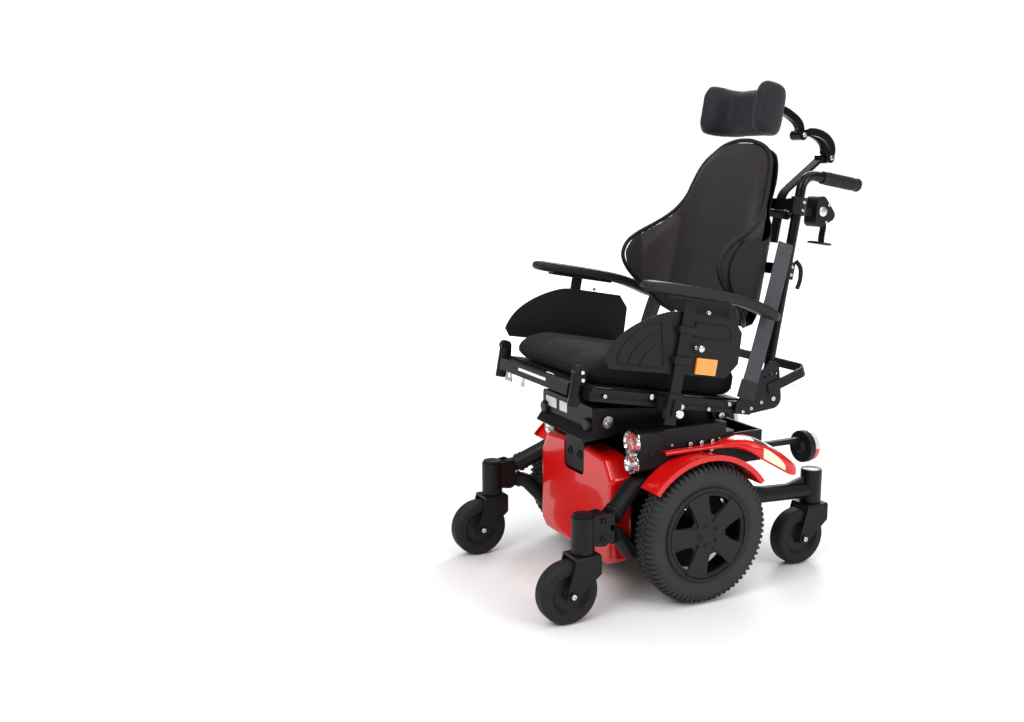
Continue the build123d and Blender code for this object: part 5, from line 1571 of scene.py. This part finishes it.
class WHEELCHAIR_OT_side_covers(bpy.types.Operator):
    """Loft the red side covers and lay their blank decals"""

    bl_idname = "wheelchair.side_covers"
    bl_label = "Side covers"

    def execute(self, context):
        sections = cover_sections()
        covers = Shape()
        for hand, _ in HANDS:
            rings = []
            for section in sections:
                outer = cover_skin(section)
                inner = [(x - COVER_SKIN, z - COVER_SKIN) for x, z in reversed(outer)]
                rings.append([base(hand * x, section[0], z) for x, z in outer + inner])
            covers.rings(rings)
        made = covers.piece("side_cover_skins", "base", red_paint(), "red_gloss", 40)
        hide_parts("side_shrouds")
        for name, colour, first, last, low, high in (
            ("cover_decal_white", (0.80, 0.79, 0.76), 104, 178, 0.10, 0.52),
            ("cover_decal_navy", (0.012, 0.02, 0.055), 150, 190, 0.30, 0.60),
            ("cover_decal_pale", (0.80, 0.79, 0.76), 186, 236, 0.16, 0.50),
        ):
            self.decal(sections, name, colour, first, last,
                       lambda t, low=low, high=high: (low + 0.12 * t, high - 0.06 * t),
                       0.5 if "navy" not in name else 0.8)
        self.decal(sections, "cover_decal_cream", (0.84, 0.74, 0.55), 160, 238,
                   lambda t: (0.97 - 0.27 * math.sqrt(max(0.0, 1 - t * t)), 0.975), 0.5)
        return {"FINISHED"}

    @staticmethod
    def decal(sections, name, colour, first, last, span, lift):
        """Thin patch on the covers between two y; span gives its edges along the skin."""
        patch = Shape()
        for hand, _ in HANDS:
            rings = []
            for section in sections:
                if not first <= section[0] <= last:
                    continue
                skin = cover_skin(section)
                low, high = span((section[0] - first) / (last - first))
                if high - low < 0.01:
                    continue
                line = [skin_point(skin, low + (high - low) * k / 10) for k in range(11)]
                top = [(x + lift * 0.5, z + lift) for x, z in line]
                rings.append([base(hand * x, section[0], z) for x, z in top + line[::-1]])
            patch.rings(rings)
        patch.piece(name, "base", label(name, colour), "red_gloss")


class WHEELCHAIR_OT_cover_details(bpy.types.Operator):
    """Add the battery cover's socket panel and the side plates' screws"""

    bl_idname = "wheelchair.cover_details"
    bl_label = "Cover details"

    def execute(self, context):
        front_y = -200.0
        socket = Shape()

        def place(u, v, w):
            return base(u, front_y + 8 - w, 332 + v)

        socket.plate(round_rect(98, 88, 14), 6, place, 2)
        for x in (-26, 26):
            socket.lathe([(0, 6), (0, 12), (3, 12), (4, 10), (4, 7), (1, 6)],
                         base(x, front_y + 2, 332), (0, -1, 0), 28)
        socket.piece("charger_socket_panel", "base", moulded_black(), "housing_black")
        screws = Shape()
        for hand, _ in HANDS:
            out = Vector((hand, 0, 0))
            for y in (-8, 25, 58):
                screws.socket_screw(base(hand * 238.6, y, 389), out, 6, 4.5)
            for y, z in ((82, 392), (-58, 390)):
                screws.socket_screw(base(hand * 235, y, z), out, 3.5, 2.5)
        screws.piece("side_plate_screws", "base", zinc(), "bolt_steel")
        return {"FINISHED"}


class WHEELCHAIR_OT_module_details(bpy.types.Operator):
    """Add the tilt module's blank labels, bumpers and pivot screws"""

    bl_idname = "wheelchair.module_details"
    bl_label = "Module details"

    def execute(self, context):
        paper = label("blank_label", (0.74, 0.74, 0.72))
        labels = Shape()
        for x, width in ((-84, 58), (-18, 40)):

            def place(u, v, w):
                return base(x + u, -222.2 - w, 452 + v)

            labels.plate(round_rect(width, 26, 2), 0.6, place, 0.2)
        labels.piece("blank_labels", "base", paper, "bolt_steel")
        rubber = Shape()
        for hand, _ in HANDS:
            rubber.lathe([(0, 0.5), (0, 16), (8, 16), (11, 13), (11, 0.5)],
                         base(hand * 112, -222, 434), (0, -1, 0), 32)
        rubber.piece("module_bumpers", "base", polyurethane(), "pad_black")
        pivots = Shape()
        for hand, _ in HANDS:
            pivots.socket_screw(base(hand * 149, 150, 425), (hand, 0, 0), 9, 4)
            pivots.socket_screw(base(hand * 140, -182, 440), (hand, 0, 0), 8, 3)
        pivots.piece("pivot_screws", "base", zinc(), "bolt_steel")
        return {"FINISHED"}


CANE_X = 200.0
GRIP_Z = 638.0


class WHEELCHAIR_OT_back_hardware(bpy.types.Operator):
    """Add the canes' clamps, levers and grip caps, and the brackets' and headrest's screws"""

    bl_idname = "wheelchair.back_hardware"
    bl_label = "Back hardware"

    def execute(self, context):
        plastic = moulded_black()
        steel = zinc()
        ratchets, screws, caps, on_seat = Shape(), Shape(), Shape(), Shape()
        for hand, _ in HANDS:
            for z in (393, 556):
                ratchets.lathe([(-22, 18), (-22, 20), (22, 20), (22, 18)],
                               seat(hand * CANE_X, 83, z), SEAT_UP, 32)
                for dz in (-10, 10):
                    screws.socket_screw(seat(hand * 219.5, 83, z + dz), (hand, 0, 0), 4, 3.5)
            lever = [seat(hand * 214, 96, 420), seat(hand * 222, 108, 404),
                     seat(hand * 224, 112, 376), seat(hand * 221, 110, 350)]
            ratchets.tube(curve_through(lever, 5), 5.5, 12, 0.6)
            caps.lathe([(-4, 0.5), (-4, 17), (0, 17.4), (3, 16), (4, 12), (4, 0.5)],
                       seat(hand * CANE_X, 262, GRIP_Z), SEAT_REAR, 32)
            for k in range(9):
                caps.lathe([(-0.9, 15.6), (-0.9, 16.9), (0.9, 16.9), (0.9, 15.6)],
                           seat(hand * CANE_X, 160 + 10 * k, GRIP_Z), SEAT_REAR, 32)
            for y, z in ((70, 70), (34, 58), (6, 40), (-18, 30)):
                on_seat.socket_screw(seat(hand * 252, y, z), (hand, 0, 0), 6 if z > 60 else 4.5, 4)
        for body, point in (("headrest_support", (319, 720)), ("headrest_rear_link", (211, 763))):
            heads = Shape()
            for side in (1, -1):
                heads.socket_screw(seat(side * 22, *point), (side, 0, 0), 6.5, 4)
            heads.piece(f"{body}_screws", body, steel, "bolt_steel")
        ratchets.piece("cane_clamps", "back", plastic, "housing_black")
        caps.piece("grip_caps", "back", polyurethane(), "pad_black")
        for hand, _ in HANDS:
            for y in (110, 132, 154):
                on_seat.lathe([(0, 2.6), (0, 4.4), (1.2, 4.4), (1.2, 2.6)],
                              seat(hand * 256, y - 4, 92 + (y - 100) * 0.53), (hand, 0, 0), 16)
        on_seat.piece("bracket_screws", "seat", steel, "bolt_steel")
        screws.piece("back_screws", "back", steel, "bolt_steel")
        knob = Shape()
        knob.lathe([(0, 0.5), (0, 8), (10, 10), (22, 10), (24, 8), (24, 0.5)],
                   seat(0, 214, 548), SEAT_REAR, 24)
        knob.piece("headrest_height_knob", "back", plastic, "housing_black")
        return {"FINISHED"}


class WHEELCHAIR_OT_seat_hardware(bpy.types.Operator):
    """Add the rails' screws and knobs, the crossbar strip and the receiver caps"""

    bl_idname = "wheelchair.seat_hardware"
    bl_label = "Seat hardware"

    def execute(self, context):
        steel = zinc()
        screws = Shape()
        for hand, _ in HANDS:
            out = Vector((hand, 0, 0))
            for y, z, r in ((-290, 45, 7), (-200, 28, 6), (-120, 28, 5), (-60, 45, 5),
                            (-420, 37, 5)):
                screws.socket_screw(seat(hand * 247, y, z), out, r, 5)
            screws.lathe([(0, 0.5), (0, 9), (3, 11), (6, 9), (6, 0.5)], seat(hand * 288, -232, 16),
                         out, 24)
        screws.piece("rail_screws", "seat", steel, "bolt_steel")
        strip = Shape()

        def place(u, v, w):
            return seat(u, -486.2 - w, 40 + v)

        strip.plate(round_rect(150, 7, 1), 0.8, place, 0.3)
        strip.piece("crossbar_strip", "seat", label("strip_white", (0.78, 0.78, 0.76)),
                    "bolt_steel")
        caps = Shape()
        for hand, _ in HANDS:
            for y, z in ((-467, 82), (-463, 64)):
                caps.lathe([(0, 0.4), (0, 4.6), (1.6, 4.2), (2.2, 2.6), (2.2, 0.4)],
                           seat(hand * 213, y, z), (hand, 0, 0), 20)
        caps.piece("receiver_caps", "seat", label("cap_white", (0.76, 0.76, 0.75)), "bolt_steel")
        return {"FINISHED"}


class WHEELCHAIR_OT_caster_hardware(bpy.types.Operator):
    """Add the casters' axle nuts, barrel caps and head screws"""

    bl_idname = "wheelchair.caster_hardware"
    bl_label = "Caster hardware"

    def execute(self, context):
        steel = zinc()
        cap_grey = label("barrel_cap_grey", (0.30, 0.31, 0.33))
        for end in ("front", "rear"):
            for _, name in HANDS:
                wheel = Vector(JOINTS[f"{end}_wheel_spin_{name}"]["pos_m"])
                nuts = Shape()
                for side in (1, -1):
                    nuts.socket_screw(wheel + Vector((side * 38, 0, 0)) * MM, (side, 0, 0), 6.5, 3)
                nuts.piece(f"{end}_axle_nuts_{name}", f"{end}_caster_{name}", steel, "bolt_steel")
                stem = Vector(JOINTS[f"{end}_caster_swivel_{name}"]["pos_m"])
                barrel = f"front_caster_head_{name}" if end == "front" else f"rear_arm_{name}"
                cap = Shape()
                spot = Vector((stem.x, stem.y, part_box(barrel)[1].z))
                cap.lathe([(-1.5, 0.5), (-1.5, 24.5), (0.6, 24), (1.6, 21), (1.8, 0.5)], spot,
                          (0, 0, 1), 48)
                cap.piece(f"{end}_barrel_cap_{name}", f"{end}_arm_{name}",
                          cap_grey if end == "rear" else moulded_black(), "housing_black")
        return {"FINISHED"}


# ---------------------------------------------------------------- stage
CAMERA_PLACE = (2331.3, -1490.8, 1064.0)
CAMERA_ROLL = -0.0034
STUDIO_AIR = 0.22  # strength of the white surroundings as light
FLOOR_REACH = 40000.0


class WHEELCHAIR_OT_stage(bpy.types.Operator):
    """Lay the pale floor and set the studio lights and the camera"""

    bl_idname = "wheelchair.stage"
    bl_label = "Stage"

    def execute(self, context):
        scene = context.scene
        floor = Shape()
        corners = ((-1, -1), (1, -1), (1, 1), (-1, 1))
        floor.rings(
            [
                [Vector((u * FLOOR_REACH, v * FLOOR_REACH, z)) * MM for u, v in corners]
                for z in (-20.0, -0.2)
            ]
        )
        mesh = bpy.data.meshes.new("studio_floor")
        mesh.from_pydata([tuple(v) for v in floor.verts], [], floor.faces)
        mesh.materials.append(studio_floor())
        ground = bpy.data.objects.new("studio_floor", mesh)
        scene.collection.objects.link(ground)
        world = bpy.data.worlds.new("studio_air")
        world.use_nodes = True
        links, nodes = world.node_tree.links, world.node_tree.nodes
        air = nodes["Background"]
        air.inputs["Color"].default_value = (1, 1, 1, 1)
        light_path = nodes.new("ShaderNodeLightPath")
        strength = nodes.new("ShaderNodeMapRange")
        strength.inputs["To Min"].default_value = STUDIO_AIR
        links.new(light_path.outputs["Is Camera Ray"], strength.inputs["Value"])
        links.new(strength.outputs["Result"], air.inputs["Strength"])
        scene.world = world
        target = Vector((0, 0, 0.55))
        for name, place, size, watts in (
            ("key_left", (1.6, -3.6, 3.2), 1.8, 95),
            ("strip_right", (3.9, 1.4, 2.2), 1.4, 60),
            ("top_soft", (0, 0, 6.0), 12.0, 640),
            ("rim_back", (-2.8, 2.6, 2.6), 1.6, 60),
        ):
            lamp = bpy.data.lights.new(name, "AREA")
            lamp.size = size
            lamp.energy = watts
            holder = bpy.data.objects.new(name, lamp)
            holder.location = place
            aim = target - Vector(place)
            holder.rotation_euler = aim.to_track_quat("-Z", "Y").to_euler()
            scene.collection.objects.link(holder)
        studio = scene.wheelchair_studio
        camera = bpy.data.cameras.new("studio_camera")
        camera.lens = studio.lens
        camera.sensor_width = 36.0
        view = bpy.data.objects.new("studio_camera", camera)
        turn, lift = studio.azimuth, studio.elevation
        back = Vector((math.sin(turn) * math.cos(lift), -math.cos(turn) * math.cos(lift),
                       math.sin(lift)))
        right = Vector((0, 0, 1)).cross(back).normalized()
        up = back.cross(right)
        level = Matrix((right, up, back)).transposed()
        view.matrix_world = (
            Matrix.Translation(base(*CAMERA_PLACE))
            @ level.to_4x4()
            @ Matrix.Rotation(CAMERA_ROLL, 4, "Z")
        )
        scene.collection.objects.link(view)
        scene.camera = view
        scene.view_settings.view_transform = "Standard"
        return {"FINISHED"}


# ---------------------------------------------------------------- panel and registration
STEPS = (
    WHEELCHAIR_OT_frame_finishes,
    WHEELCHAIR_OT_drive_tyres,
    WHEELCHAIR_OT_wheel_trim,
    WHEELCHAIR_OT_seat_cushion,
    WHEELCHAIR_OT_back_cushion,
    WHEELCHAIR_OT_headrest,
    WHEELCHAIR_OT_armrest_pads,
    WHEELCHAIR_OT_side_guards,
    WHEELCHAIR_OT_straps,
    WHEELCHAIR_OT_belt_reel,
    WHEELCHAIR_OT_lamps,
    WHEELCHAIR_OT_side_covers,
    WHEELCHAIR_OT_cover_details,
    WHEELCHAIR_OT_module_details,
    WHEELCHAIR_OT_back_hardware,
    WHEELCHAIR_OT_seat_hardware,
    WHEELCHAIR_OT_caster_hardware,
    WHEELCHAIR_OT_stage,
)


class WHEELCHAIR_PT_looks(bpy.types.Panel):
    """Lists the chair's sizes, colours and building steps"""

    bl_label = "Power wheelchair"
    bl_idname = "WHEELCHAIR_PT_looks"
    bl_space_type = "VIEW_3D"
    bl_region_type = "UI"
    bl_category = "Wheelchair"

    def draw(self, context):
        for group in (
            context.scene.wheelchair_colours,
            context.scene.wheelchair_sizes,
            context.scene.wheelchair_studio,
        ):
            box = self.layout.box()
            for name in group.__annotations__:
                box.prop(group, name)
        for step in STEPS:
            self.layout.operator(step.bl_idname)


GROUPS = (
    ("wheelchair_colours", WheelchairColours),
    ("wheelchair_sizes", WheelchairSizes),
    ("wheelchair_studio", WheelchairStudio),
)


def register():
    """Registers the property groups, the operators and the panel."""
    for name, group in GROUPS:
        bpy.utils.register_class(group)
        setattr(bpy.types.Scene, name, bpy.props.PointerProperty(type=group))
    for step in STEPS:
        bpy.utils.register_class(step)
    bpy.utils.register_class(WHEELCHAIR_PT_looks)


def unregister():
    """Removes what register added."""
    bpy.utils.unregister_class(WHEELCHAIR_PT_looks)
    for step in reversed(STEPS):
        bpy.utils.unregister_class(step)
    for name, group in reversed(GROUPS):
        delattr(bpy.types.Scene, name)
        bpy.utils.unregister_class(group)


def main():
    """Builds every piece in order."""
    register()
    for step in STEPS:
        family, action = step.bl_idname.split(".")
        result = getattr(getattr(bpy.ops, family), action)()
        if "FINISHED" not in result:
            raise RuntimeError(f"{step.bl_label} didn't finish")
    bpy.context.view_layer.update()


if __name__ == "__main__":
    main()
